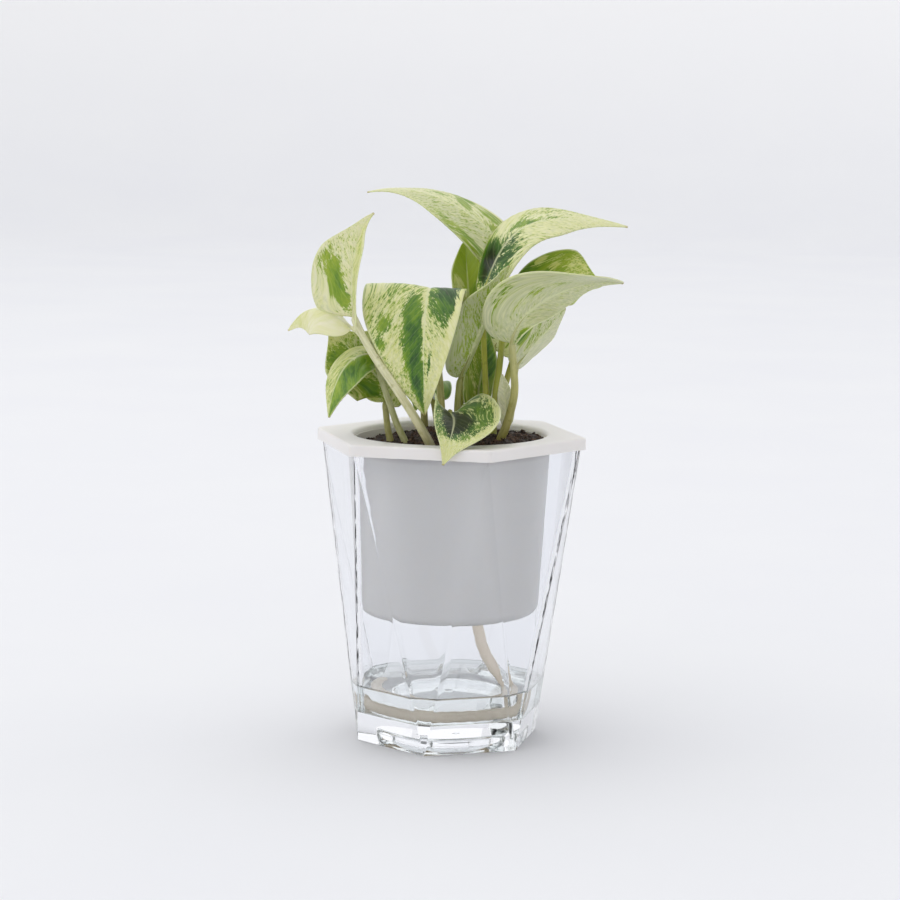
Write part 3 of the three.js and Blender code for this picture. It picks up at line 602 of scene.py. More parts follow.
# Leaves, in mm and in the plant's directions, as the construction has them. green, dark, warm and
# veil say how green, dark, yellow and veiled a blade is: a level all over, and patches that add to
# it, each (place along, place across, size along, size across, how much). stemTint is the stalk's
# colour at its foot, middle and top
leaves = {
    "left_upright": {
        "midrib": [(-36.5, -21.5, 166.1), (-37.8, -28, 175.2), (-39.3, -16.5, 196), (-29.4, -14.7, 205.2)],
        "faces": [(-0.36, -0.93, 0), (0.18, -0.91, 0.37)], "belly": 0.25, "drip": 0.5,
        "width": (15.8, 9.3), "fold": (-5, 53), "curl": (9, 24), "lobe": (0.15, 0.15),
        "stem": [
            (-6.9, -30, 116.9), (-12.4, -33.5, 128.2), (-20.8, -33, 141.2), (-29.7, -28.5, 153.6),
            (-36.3, -22, 165.4),
        ],
        "stemRadius": (1.9, 1.35), "stemTint": ("bdb588", "d8d5b0", "dad9b2"),
        "green": (-0.55, [
            (0.16, -0.18, 0.08, 0.13, 1.3), (0.26, -0.34, 0.12, 0.16, 2), (0.4, -0.5, 0.12, 0.16, 1.9),
            (0.46, -0.78, 0.12, 0.15, 0.8), (0.12, -0.7, 0.12, 0.3, -0.5), (0.97, 0, 0.2, 1, -0.4),
        ]),
        "dark": (-0.25, [(0.3, -0.38, 0.16, 0.12, 0.5)]),
        "warm": (0.35, [(0.5, 0.6, 0.6, 0.45, 0.4)]),
        "veil": (0.1, []),
    },
    "young": {
        "midrib": [(-37.5, -18.4, 162), (-48.5, -19.2, 169.8), (-54.9, -9, 172.3), (-62.8, -0.5, 159)],
        "faces": [(0.04, -0.33, 0.94), (-0.46, -0.5, 0.74)], "belly": 0.42, "drip": 0.5,
        "width": (9.8, 7.5), "fold": (-42, -24), "curl": (-13, 0), "lobe": (0.14, 0.14),
        "stem": [(-27.8, -29.5, 151), (-31.3, -27, 156.5), (-34.6, -22.9, 160.2), (-37, -19.2, 161.7)],
        "onStalk": True,  # its sheath leaves the upright leaf's stalk
        "stemRadius": (1.2, 1), "stemTint": ("c8c49a", "dcdab4", "e0deb8"),
        "green": (-2.8, []),
        "dark": (-0.5, []),
        "warm": (0.3, [(0.8, 0, 0.3, 1, 0.3)]),
        "veil": (-0.8, [(0.3, -0.4, 0.2, 0.4, 0.6)]),
    },
    "front": {
        "midrib": [(-6.6, 4.7, 166), (-7.4, -5, 187.6), (-12, -27, 175.3), (-9.6, -31.5, 130.2)],
        "faces": [(-0.1, 0.1, 0.98), (0, -0.95, 0.3)], "belly": 0.25, "drip": 0,
        "width": (13.8, 24.5), "fold": (0, 13), "curl": (-9, -12), "lobe": (0.5, 0.5),
        "stem": [(-3, -2, 119.1), (-4, 3, 134.9), (-5.4, 4.5, 151), (-6.5, 4.9, 165.4)],
        "stemRadius": (1.7, 1.3), "stemTint": ("a09c5c", "b8b672", "c2c486"),
        "green": (-0.3, [
            (0.3, -0.6, 0.2, 0.5, 1.5), (0.5, 0.2, 0.15, 0.16, 1.9), (0.78, 0.26, 0.22, 0.24, 2.4),
            (0.5, 0.72, 0.05, 0.13, 1.3), (0.58, 0.88, 0.04, 0.08, 1.3), (0.63, 0.68, 0.12, 0.2, -0.6),
            (0.7, -0.6, 0.15, 0.4, -0.5), (0.73, -0.27, 0.07, 0.07, 1.4), (0.95, -0.5, 0.15, 0.5, -1),
            (0.4, 0, 0.3, 0.06, -0.9), (0.62, -1, 0.45, 0.2, -3),
        ]),
        "dark": (0.15, [
            (0.3, -0.6, 0.22, 0.5, 0.9), (0.5, 0.2, 0.15, 0.18, 0.5), (0.78, 0.26, 0.22, 0.24, 0.8),
            (0.73, -0.27, 0.07, 0.1, 0.8),
        ]),
        "warm": (0.65, [(0.62, -1, 0.45, 0.2, -0.1)]),
        "veil": (0.15, [(0.62, -1, 0.45, 0.2, -1.5)]),
    },
    "top_left": {
        "midrib": [(20.8, 33.5, 189.4), (13.6, 26.5, 200.9), (-9.5, 19.5, 218), (-33.5, 20.6, 211.5)],
        "faces": [(0, -0.8, 0.6), (-0.04, -0.18, 0.98)], "belly": 0.31, "drip": 0.5,
        "width": (14.9, 12.4), "fold": (-1, -14), "curl": (-4, -11), "lobe": (0.65, 0.65),
        "stem": [
            (16.4, -5, 117.5), (16.9, 0.5, 130.5), (18.8, 10, 143.5), (20.3, 22, 158.5), (20.9, 34, 188.7),
        ],
        "stemRadius": (1.5, 1.1), "stemTint": ("8f923c", "a8ad42", "b2b858"),
        "green": (-0.42, [
            (0.3, -0.85, 0.25, 0.25, 0.6), (0.355, 0.5, 0.045, 0.3, 1.7), (0.3, 0.85, 0.03, 0.1, 1.4),
            (0.2, 0.65, 0.05, 0.2, 0.9), (0.52, 0.55, 0.05, 0.1, 1.3), (0.08, 0.3, 0.1, 0.6, 0.8),
            (0.9, 0, 0.2, 1, -0.7),
        ]),
        "dark": (-0.2, [(0.35, 0.5, 0.12, 0.4, 0.3)]),
        "warm": (0.5, []),
        "veil": (0.15, [(0.4, -0.5, 0.5, 0.5, 0.4)]),
    },
    "top_right": {
        "midrib": [(12.4, 14.3, 173.8), (21.1, 5.7, 199.7), (27.8, 16.9, 207.2), (69.4, 28.4, 198.5)],
        "faces": [(-0.82, -0.48, 0.31), (0.09, -0.5, 0.86)], "belly": 0.3, "drip": 0.5,
        "width": (12, 11.7), "fold": (-5, -6), "curl": (0, -3), "lobe": (0.67, 0.67),
        "stem": [(13.5, -2, 117.6), (13.7, 3, 132.4), (12.9, 12.5, 150.9), (12.3, 14.1, 173.1)],
        "stemRadius": (1.4, 1.1), "stemTint": ("8c8e34", "a6a83c", "b0b454"),
        "green": (-0.35, [
            (0.14, -0.5, 0.12, 0.5, 1.6), (0.2, 0.25, 0.17, 0.5, 0.8), (0.36, -0.75, 0.06, 0.3, -0.9),
            (0.41, -0.3, 0.06, 0.2, 1), (0.53, -0.08, 0.1, 0.12, 0.6), (0.6, 0.5, 0.3, 0.5, -0.45),
            (0.95, 0, 0.25, 1, -0.7),
        ]),
        "dark": (-0.05, [(0.14, -0.5, 0.14, 0.5, 1.8), (0.2, 0.25, 0.2, 0.5, 1.3)]),
        "warm": (0.5, []),
        "veil": (0.15, []),
    },
    "behind_centre": {
        "midrib": [(7.4, 30.8, 164.1), (6.5, 28.5, 173.9), (5.7, 26, 185.1), (5.2, 30.3, 192.2)],
        "faces": [(0.01, -0.96, 0.29), (0.03, -0.96, 0.29)], "belly": 0.43, "drip": 0.3,
        "width": (7.8, 7.6), "fold": (25, 22), "curl": (19, 17), "lobe": (0.55, 0.55),
        "stem": [(3, 17, 118), (5, 22, 138), (7.3, 31, 165.4)],
        "stemRadius": (1.4, 1), "stemTint": ("84843a", "9a9c46", "a4a855"),
        "green": (1.2, [(0.42, -0.6, 0.13, 0.5, -1.8)]),
        "dark": (-0.5, [(0.3, 0.6, 0.12, 0.3, 0.6)]),
        "warm": (0.9, []),
        "veil": (0.1, [(0.15, 0, 0.2, 1, 0.8)]),
    },
    "right_back": {
        "midrib": [(30.2, 14.4, 170.6), (36.4, 13.4, 178.6), (46.3, 14.9, 180.5), (58.6, 13.6, 176.2)],
        "faces": [(-0.11, -0.76, 0.64), (0.14, -0.75, 0.65)], "belly": 0.43, "drip": 0.5,
        "width": (14.8, 12), "fold": (0, 0), "curl": (0, 0), "lobe": (0.4, 0.4),
        "stem": [(15, 9, 118), (19, 11, 130), (25, 14, 150), (30, 14.8, 169.9)],
        "stemRadius": (1.5, 1.1), "stemTint": ("929040", "a8a84c", "b2b462"),
        "green": (0.55, [
            (0.28, -0.85, 0.04, 0.09, -2), (0.4, -0.5, 0.05, 0.16, -1.2), (0.15, -0.3, 0.14, 0.7, 0.5),
            (0.65, -0.6, 0.2, 0.5, -0.7), (0.72, -0.78, 0.05, 0.12, -0.7),
        ]),
        "dark": (-0.35, [(0.18, -0.5, 0.17, 0.7, 0.6), (0.36, -0.2, 0.07, 0.25, 0.7)]),
        "warm": (1, []),
        "veil": (0, []),
    },
    "right": {
        "midrib": [(23.3, -8.7, 155.6), (25.3, -13.7, 170.5), (47.5, -4, 182), (66.8, 9.6, 177.7)],
        "faces": [(0.62, 0.73, 0.28), (-0.18, 0.49, 0.85)], "belly": 0.36, "drip": 0.5,
        "width": (7, 19.4), "fold": (-28, -14), "curl": (-11, -23), "lobe": (0.1, 0.1),
        "stem": [
            (19, -10, 117.5), (21.4, -10.3, 124.3), (24.3, -10.2, 136), (24.2, -9.3, 144.7),
            (23.3, -8.4, 154.8),
        ],
        "stemRadius": (1.9, 1.35), "stemTint": ("9c9244", "b4b06c", "c6c795"),
        "green": (-0.8, [
            (0.15, 0.75, 0.08, 0.13, 0.8), (0.33, 0.35, 0.05, 0.09, 0.9), (0.46, 0.42, 0.06, 0.1, 0.7),
            (0.22, 0.3, 0.04, 0.1, 0.6), (0.1, -0.8, 0.07, 0.25, 1.2),
        ]),
        "dark": (-0.3, [(0.1, -0.8, 0.07, 0.25, 0.5)]),
        "warm": (0.35, []),
        "veil": (0.65, []),
    },
    "right_low": {
        "midrib": [(25.7, 4.4, 146.4), (31, 4.5, 153.4), (40.1, 5.2, 162.4), (44.4, 9.8, 167.7)],
        "faces": [(-0.52, 0.68, 0.51), (-0.41, 0.82, 0.39)], "belly": 0.4, "drip": 0.5,
        "width": (10.8, 9.4), "fold": (14, 0), "curl": (17, 7), "lobe": (0.52, 0.52),
        "stem": [(21, 2, 117.5), (24, 2.5, 132), (25.5, 4, 145.7)],
        "stemRadius": (1.3, 1), "stemTint": ("958c3c", "a8a456", "bdbf85"),
        "green": (-0.5, [
            (0.3, 0.85, 0.09, 0.2, 2), (0.5, 0.4, 0.35, 0.3, 0.3), (0.5, -0.6, 0.5, 0.5, -0.5),
        ]),
        "dark": (-0.1, [(0.3, 0.85, 0.1, 0.2, 0.8)]),
        "warm": (0.3, []),
        "veil": (0.6, []),
    },
    "folded": {
        "midrib": [(3.6, 4.4, 141), (10.2, 1.4, 156.5), (16.1, -1, 172.6), (22.2, 0, 184.8)],
        "faces": [(-0.12, 0.93, 0.3), (-0.2, 0.92, 0.3)], "belly": 0.43, "drip": 0.5,
        "width": (7.5, 11), "fold": (52, 0), "curl": (22, 1), "lobe": (0.52, 0.52),
        "stem": [(3, -1, 118.5), (2.6, 1, 130), (3.5, 4.2, 139.4)],
        "stemRadius": (1.5, 1.2), "stemTint": ("7a7a34", "92944a", "a5a86a"),
        "green": (-0.5, [
            (0.3, 0.1, 0.35, 0.25, 0.4), (0.75, 0.1, 0.2, 0.3, 0.4), (0.5, 0.6, 0.4, 0.4, 0.25),
        ]),
        "dark": (-0.35, []),
        "warm": (0.45, []),
        "veil": (0.95, []),
    },
    "cup": {
        "midrib": [(-0.2, -20, 130.3), (2.8, -33.8, 128.1), (1.1, -46.6, 128.3), (-2.6, -52.8, 114.5)],
        "faces": [(0.36, -0.78, 0.51), (0.1, -0.74, 0.67)], "belly": 0.26, "drip": 0.5,
        "width": (18.5, 12), "fold": (9, 9), "curl": (46, 50), "lobe": (1.26, 1),
        "stem": [(-0.1, -10, 119), (-0.1, -13, 125), (-0.2, -19.3, 130.2)],
        "stemRadius": (1.4, 1.1), "stemTint": ("7d7c38", "969650", "a5a662"),
        # the first green and dark patches make the throat green and nearly black: the leaf's own green, and
        # painted shade in the cup's hollow
        "green": (0.2, [
            (0.35, 0.05, 0.25, 0.35, 1.6), (0.62, -0.92, 0.15, 0.2, -1.4), (0.93, 0, 0.13, 1, -2.6),
            (0.8, 0.4, 0.1, 0.7, -1), (0.76, -0.5, 0.06, 0.5, -0.9), (0.3, -0.95, 0.2, 0.1, -0.8),
        ]),
        "dark": (0.8, [(0.35, 0.05, 0.3, 0.4, 2.6), (0.8, 0, 0.2, 1, -0.5)]),
        "warm": (0.7, []),
        "veil": (0.2, []),
    },
    "left_low": {
        "midrib": [(-30, -12.8, 151.4), (-37.9, -16.3, 152.9), (-44.4, -24, 145.1), (-45.8, -26, 128.4)],
        "faces": [(-0.26, -0.64, 0.72), (-0.85, -0.49, 0.19)], "belly": 0.32, "drip": 0.2,
        "width": (10, 10.1), "fold": (-9, -13), "curl": (-9, -9), "lobe": (0.19, 0.19),
        "stem": [(-16.4, -15, 115.5), (-20.5, -14, 125), (-25.5, -13, 139), (-29.6, -12.5, 150.8)],
        "stemRadius": (1.5, 1.15), "stemTint": ("b3b07c", "c6c796", "cbcca4"),
        "green": (-0.3, [(0.5, -0.55, 0.65, 0.55, 2.4), (0.55, 0.85, 0.05, 0.1, 0.9)]),
        "dark": (-0.2, [(0.5, -0.55, 0.65, 0.55, 0.6)]),
        "warm": (0.9, []),
        "veil": (0.1, []),
    },
    "left_back": {
        "midrib": [(-24.9, -3.6, 132.1), (-22.7, -6, 142.9), (-42.8, -3, 150.9), (-45.3, 2.3, 161.5)],
        "faces": [(-0.22, -0.87, 0.44), (-0.14, -0.88, 0.46)], "belly": 0.45, "drip": 0.5,
        "width": (14.8, 12), "fold": (11, 5), "curl": (15, 10), "lobe": (0.47, 0.47),
        "stem": [(-22.8, -8, 115.5), (-24.2, -6.5, 123), (-25, -4, 131.4)],
        "stemRadius": (1.5, 1.25), "stemTint": ("9a9152", "b2ae6e", "bfc088"),
        "green": (-0.2, [
            (0.68, -0.5, 0.1, 0.45, 1.1), (0.22, -0.4, 0.13, 0.3, 1.1), (0.92, 0, 0.1, 1, -1.4),
            (0.6, 0.35, 0.03, 0.07, 1.4),
        ]),
        "dark": (-0.1, [(0.22, -0.4, 0.13, 0.3, 0.6), (0.68, -0.5, 0.1, 0.45, 0.3)]),
        "warm": (0.9, []),
        "veil": (0.2, [(0.6, 0.4, 0.2, 0.4, 0.6)]),
    },
    "inner": {
        "midrib": [(10.8, 18.1, 128.8), (10.4, 15.7, 137.4), (14.8, 16.7, 149.5), (13.8, 21.5, 158.7)],
        "faces": [(0.01, -0.98, 0.2), (-0.04, -0.98, 0.2)], "belly": 0.35, "drip": 0.3,
        "width": (7.4, 6.6), "fold": (21, 24), "curl": (16, 18), "lobe": (0.59, 0.59),
        "stem": [(9.6, 14, 117.7), (10.6, 18.5, 128.1)],
        "stemRadius": (1.2, 1), "stemTint": ("77702f", "87853a", "929446"),
        "green": (0.25, [(0.6, 0.5, 0.45, 0.45, 1.5), (1, 0, 0.04, 1, -2.5)]),
        "dark": (-0.1, [(0.6, 0.5, 0.45, 0.45, 0.8)]),
        "warm": (1, []),
        "veil": (0, []),
    },
    "small": {
        "midrib": [(21.5, -3, 123), (22, -3.4, 130), (20.5, -3, 137), (19.8, -2, 143)],
        "faces": [(0, -1, 0.1), (0, -1, 0.1)], "belly": 0.4, "drip": 0.2,
        "width": (3.2, 3.6), "fold": (10, 10), "curl": (25, 25), "lobe": (0.2, 0.2),
        "stem": [(21.2, -3.5, 117.5), (21.5, -3, 122.4)],
        "stemRadius": (1, 0.8), "stemTint": ("8f8a4a", "b5b57a", "c6c88f"),
        "green": (-1.2, []),
        "dark": (-0.4, []),
        "warm": (0.1, []),
        "veil": (0.4, []),
    },
    "back_left": {
        "midrib": [(-12, 18, 156), (-14, 26, 165), (-20, 40, 160), (-22, 46, 139)],
        "faces": [(-0.2, -0.1, 1), (-0.4, 0.9, 0.2)], "belly": 0.34, "drip": 0.4,
        "width": (12, 12), "fold": (8, 8), "curl": (-12, -12), "lobe": (0.6, 0.6),
        "stem": [(-10, 12, 118), (-11, 15, 137), (-11.9, 17.8, 155.3)],
        "stemRadius": (1.6, 1.2), "stemTint": ("8a8344", "a6a45f", "b2b274"),
        "green": (-0.3, [
            (0.4, 0.45, 0.18, 0.35, 1.5), (0.62, -0.55, 0.12, 0.25, 1.2), (0.2, -0.5, 0.08, 0.25, 0.9),
            (0.97, 0, 0.1, 1, -1),
        ]),
        "dark": (0.1, [(0.4, 0.45, 0.2, 0.35, 0.7)]),
        "warm": (0.5, []),
        "veil": (0.2, []),
    },
    "back_right": {
        "midrib": [(17, 23.5, 150), (20, 30, 158), (24, 39, 162), (27, 46.5, 155)],
        "faces": [(0.2, -0.3, 1), (0.2, 0.3, 0.9)], "belly": 0.34, "drip": 0.4,
        "width": (11, 11), "fold": (6, 6), "curl": (-10, -10), "lobe": (0.55, 0.55),
        "stem": [(12, 19, 118), (14, 21.5, 134), (16.8, 23.5, 149.3)],
        "stemRadius": (1.5, 1.15), "stemTint": ("837838", "9c974c", "a8a562"),
        "green": (-0.45, [
            (0.3, -0.5, 0.14, 0.4, 1.5), (0.55, 0.4, 0.1, 0.2, 1.3), (0.7, -0.2, 0.08, 0.12, 1.1),
            (0.97, 0, 0.1, 1, -1),
        ]),
        "dark": (0, [(0.3, -0.5, 0.16, 0.4, 0.8)]),
        "warm": (0.5, []),
        "veil": (0.2, []),
    },
    "back_low": {
        "midrib": [(-7, 21, 131), (-8, 28, 139), (-12, 38, 138), (-14, 44, 123)],
        "faces": [(0, -0.2, 1), (-0.1, 0.9, 0.3)], "belly": 0.34, "drip": 0.4,
        "width": (9, 9), "fold": (8, 8), "curl": (-12, -12), "lobe": (0.55, 0.55),
        "stem": [(-5, 17, 118), (-6, 19, 125), (-7, 20.8, 130.3)],
        "stemRadius": (1.4, 1.1), "stemTint": ("776e33", "8b8840", "969850"),
        "green": (0.7, [(0.5, 0.6, 0.2, 0.3, -1.3), (0.3, -0.7, 0.1, 0.2, -1.1)]),
        "dark": (0.2, []),
        "warm": (0.7, []),
        "veil": (0.1, []),
    },
}


# What all blades share
bladeFinish = {
    "spineSteps": 240, "rows": 84, "columns": 40,
    "stalkBias": 1.35, "ribBias": 1.3, "ends": 0.004,  # rows crowd to the stalk, columns to the midrib
    "fullness": 1.2, "dripFrom": (0.5, 0.92),   # the outline, and where it narrows to a drip tip
    "lobeLength": 0.4, "sweep": 0.45, "sweepTaper": 0.7,  # margins run back at the stalk, then forward
    "tipHalfWidth": 0.45, "thickness": 0.5,
    "groove": 0.28, "grooveWidth": 0.8,         # the midrib, sunk in the upper face, mm
    "veinSpacing": 3.4, "veinRelief": 0.07, "veinFrom": (0.5, 3),  # side veins, fading in off the midrib
    "wave": 0.45, "waveLength": 17, "waveFrom": 5,  # the blade's own unevenness
    "lean": (-0.1, 1.2), "leanLength": 0.35,    # how far side veins run forward, at the stalk and further on
    "ownStep": 17.3,                            # parts one leaf's veins and grains from the next's
    # grains of the marbling: mm along the leaf, mm along a side vein, detail, and weight in it
    "grains": {
        "streak": (0.8, 1.3, 4.0, 2.3), "patch": (2.3, 3.4, 2.5, 2.6), "speck": (0.6, 0.8, 3.0, 3.0),
        "cloud": (6.0, 7.0, 2.0, 0.0),
    },
}


# A blade's midrib, in mm and in the plant's directions: its line, slopes and distances along it
def bladeSpine(leaf):
    a, b, c, d = (np.array(p, float) for p in leaf["midrib"])
    s = np.linspace(0, 1, bladeFinish["spineSteps"] + 1)[:, None]
    line = (1 - s) ** 3 * a + 3 * s * (1 - s) ** 2 * b + 3 * s ** 2 * (1 - s) * c + s ** 3 * d
    return line, np.gradient(line, axis=0), distances(line)


# Rises from 0 to 1 between start and end, level at both
def smoothStep(x, start, end):
    s = np.clip((x - start) / (end - start), 0, 1)
    return s * s * (3 - 2 * s)


# What a table of points along a line holds at each distance
def spread(table, run, at):
    return np.column_stack([np.interp(at, run, table[:, k]) for k in range(3)])


# Half width of a blade along its midrib, as a share of the widest
def bladeProfile(leaf, t):
    belly, fullness = leaf["belly"], bladeFinish["fullness"]
    base = (t / belly) ** (belly * fullness)
    taper = ((1 - t) / (1 - belly)) ** ((1 - belly) * fullness)
    return base * taper * (1 - leaf["drip"] * smoothStep(t, *bladeFinish["dripFrom"]))


# Places on a blade: t runs from the stalk to the tip, v from margin to margin. Gives the points,
# the way up from the blade, and each point's distance from the midrib. Each half folds up at the
# midrib and curls on in an arc, where a curl of 0 is taken as 0.1 degrees
def bladePoints(leaf, t, v):
    side = (v > 0).astype(int)
    pick = {key: np.array(leaf[key], float)[side] for key in ("width", "fold", "curl", "lobe")}
    reach = np.maximum(pick["width"] * bladeProfile(leaf, t), bladeFinish["tipHalfWidth"]) * abs(v)
    ramp = smoothStep(t, 0, bladeFinish["lobeLength"])
    forward = bladeFinish["sweep"] * ramp * (1 - t) ** bladeFinish["sweepTaper"]
    sweep = -pick["lobe"] * (1 - ramp) + forward
    line, slope, run = bladeSpine(leaf)
    length = run[-1]
    along = t + sweep * reach * abs(v) / length
    inside = np.clip(along, 0, 1)
    at = spread(line, run, inside * length)
    tangent = spread(slope, run, inside * length)
    tangent /= np.linalg.norm(tangent, axis=1)[:, None]
    at += tangent * ((along - inside) * length)[:, None]
    near, far = (np.array(f, float) for f in leaf["faces"])
    up = near + (far - near) * inside[:, None]
    up -= tangent * (up * tangent).sum(axis=1)[:, None]
    up /= np.linalg.norm(up, axis=1)[:, None]
    across = np.cross(tangent, up)
    fold = np.radians(pick["fold"])
    bend = np.radians(np.where(pick["curl"] == 0, 0.1, pick["curl"])) / pick["width"]
    outward = (np.sin(fold + bend * reach) - np.sin(fold)) / bend
    rise = (np.cos(fold) - np.cos(fold + bend * reach)) / bend
    points = at + across * (np.sign(v) * outward)[:, None] + up * rise[:, None]
    return points, up, reach


# One layer of a leaf's colouring: its level, and what its soft patches add at each place
def patchwork(layer, t, v):
    level, patches = layer
    total = np.full(len(t), float(level))
    for tAt, vAt, tSize, vSize, amount in patches:
        away = np.sqrt(((t - tAt) / tSize) ** 2 + ((v - vAt) / vSize) ** 2)
        total += amount * np.exp(-away ** 3)
    return total


def marbledBlade():
    # Marbled pothos leaf: waxy cuticle over green tissue, with cells without green that show cream;
    # streaks run along the side veins
    material, tree, shader = newMaterial("marbledBladeUpper")
    # place holds mm along, mm across and the leaf's own shift; paint and share hold what makeBlade wrote
    place, paint, share = (
        addNode(tree, "Attribute", attribute_name=key).outputs["Vector"]
        for key in ("place", "paint", "share"))
    along, across, own = addNode(tree, "SeparateXYZ", {0: place}).outputs
    green, dark, warm = addNode(tree, "SeparateXYZ", {0: paint}).outputs
    t, v, veil = addNode(tree, "SeparateXYZ", {0: share}).outputs

    # green where the paint and the grains together rise above zero
    grain, level = {}, green
    for key, (wide, long, detail, weight) in bladeFinish["grains"].items():
        scaled = addNode(tree, "Mapping", {"Vector": place, "Scale": (1 / wide, 1 / long, 1)})
        grain[key] = addNode(tree, "TexNoise", {
            "Vector": scaled, "Scale": 1.0, "Detail": detail, "Roughness": 0.62})
        part = addNode(tree, "MapRange", {0: grain[key], 3: -weight / 2, 4: weight / 2}, clamp=False)
        level = addNode(tree, "Math", {0: level, 1: part}, operation="ADD")
    isGreen = addNode(tree, "MapRange", {0: level, 1: -0.14, 2: 0.14}, interpolation_type="SMOOTHSTEP")
    nearGreen = addNode(tree, "MapRange", {0: level, 1: -0.7, 2: 0.1, 4: 0.5})

    # cream tissue: paler or yellower, and grey-green where a thin green layer lies under it
    yellowed = addNode(tree, "Math", {0: grain["patch"], 1: 1.4, 2: warm}, operation="MULTIPLY_ADD")
    yellowed = addNode(tree, "MapRange", {0: yellowed, 1: 0.7, 2: 1.7})
    cream = addNode(tree, "ValToRGB", {"Fac": yellowed}, [(0.0, "e9e6c8"), (0.5, "dfdfa8"), (1.0, "c9cd72")])
    veiled = addNode(tree, "Math", {0: grain["streak"], 1: 2.0, 2: veil}, operation="MULTIPLY_ADD")
    veiled = addNode(tree, "MapRange", {0: veiled, 1: 1.0, 2: 1.9, 4: 0.85})
    pale = addNode(tree, "MixRGB", {0: veiled, 1: cream, 2: srgb("b3bb92")})
    pale = addNode(tree, "MixRGB", {0: nearGreen, 1: pale, 2: srgb("b0bf66")})

    # green tissue, from fresh to nearly black green; the nearly black end is partly painted shade, as in the
    # cup leaf's throat
    deep = addNode(tree, "Math", {0: grain["streak"], 1: 1.4, 2: dark}, operation="MULTIPLY_ADD")
    deep = addNode(tree, "Math", {0: grain["cloud"], 1: 2.2, 2: deep}, operation="MULTIPLY_ADD")
    deep = addNode(tree, "MapRange", {0: deep, 1: 1.2, 2: 3.6})
    leafy = addNode(tree, "ValToRGB", {"Fac": deep}, [
        (0.05, "9aae32"), (0.3, "7b9a22"), (0.5, "567f1e"), (0.7, "345e20"), (1.0, "15230d")])
    colour = addNode(tree, "MixRGB", {0: isGreen, 1: pale, 2: leafy})

    # side veins, the pale midrib, the thin pale margin and the dry point of the tip
    vein = addNode(tree, "Math", {0: along, 1: own}, operation="ADD")
    vein = addNode(tree, "Math", {0: vein, 1: bladeFinish["veinSpacing"] / 2}, operation="PINGPONG")
    vein = addNode(tree, "MapRange", {0: vein, 1: 0.35, 2: 0.0}, interpolation_type="SMOOTHSTEP")
    fromRib = addNode(tree, "Math", {0: across}, operation="ABSOLUTE")
    ribWidth = addNode(tree, "Math", {0: t, 1: -0.5, 2: 0.75}, operation="MULTIPLY_ADD")
    rib = addNode(tree, "Math", {0: fromRib, 1: ribWidth}, operation="DIVIDE")
    rib = addNode(tree, "MapRange", {0: rib, 1: 1.3, 2: 0.5, 4: 0.6})
    margin = addNode(tree, "Math", {0: v}, operation="ABSOLUTE")
    margin = addNode(tree, "MapRange", {0: margin, 1: 0.95, 2: 0.985, 4: 0.6})
    tip = addNode(tree, "MapRange", {0: t, 1: 0.975, 2: 0.995, 4: 0.6})
    veinShare = addNode(tree, "Math", {0: vein, 1: 0.08}, operation="MULTIPLY")
    for part, tone in ((veinShare, "dfe3b0"), (rib, "dde0b4"), (margin, "dfe2ae"), (tip, "a98d55")):
        colour = addNode(tree, "MixRGB", {0: part, 1: colour, 2: srgb(tone)})

    height = addNode(tree, "Math", {0: grain["streak"], 1: 0.5}, operation="MULTIPLY")
    height = addNode(tree, "Math", {0: vein, 1: -0.8, 2: height}, operation="MULTIPLY_ADD")
    bump = addNode(tree, "Bump", {"Strength": 0.35, "Distance": 0.12 * mm, "Height": height})
    gloss = addNode(tree, "MapRange", {0: grain["cloud"], 1: 0.3, 2: 0.7, 3: 0.3, 4: 0.42})
    feed(tree, shader, {
        "Base Color": colour, "Normal": bump, "Roughness": gloss,
        "Specular IOR Level": 0.45, "Subsurface Weight": 0.2,
        "Subsurface Radius": (0.8, 1.0, 0.3), "Subsurface Scale": 0.6 * mm})
    return material


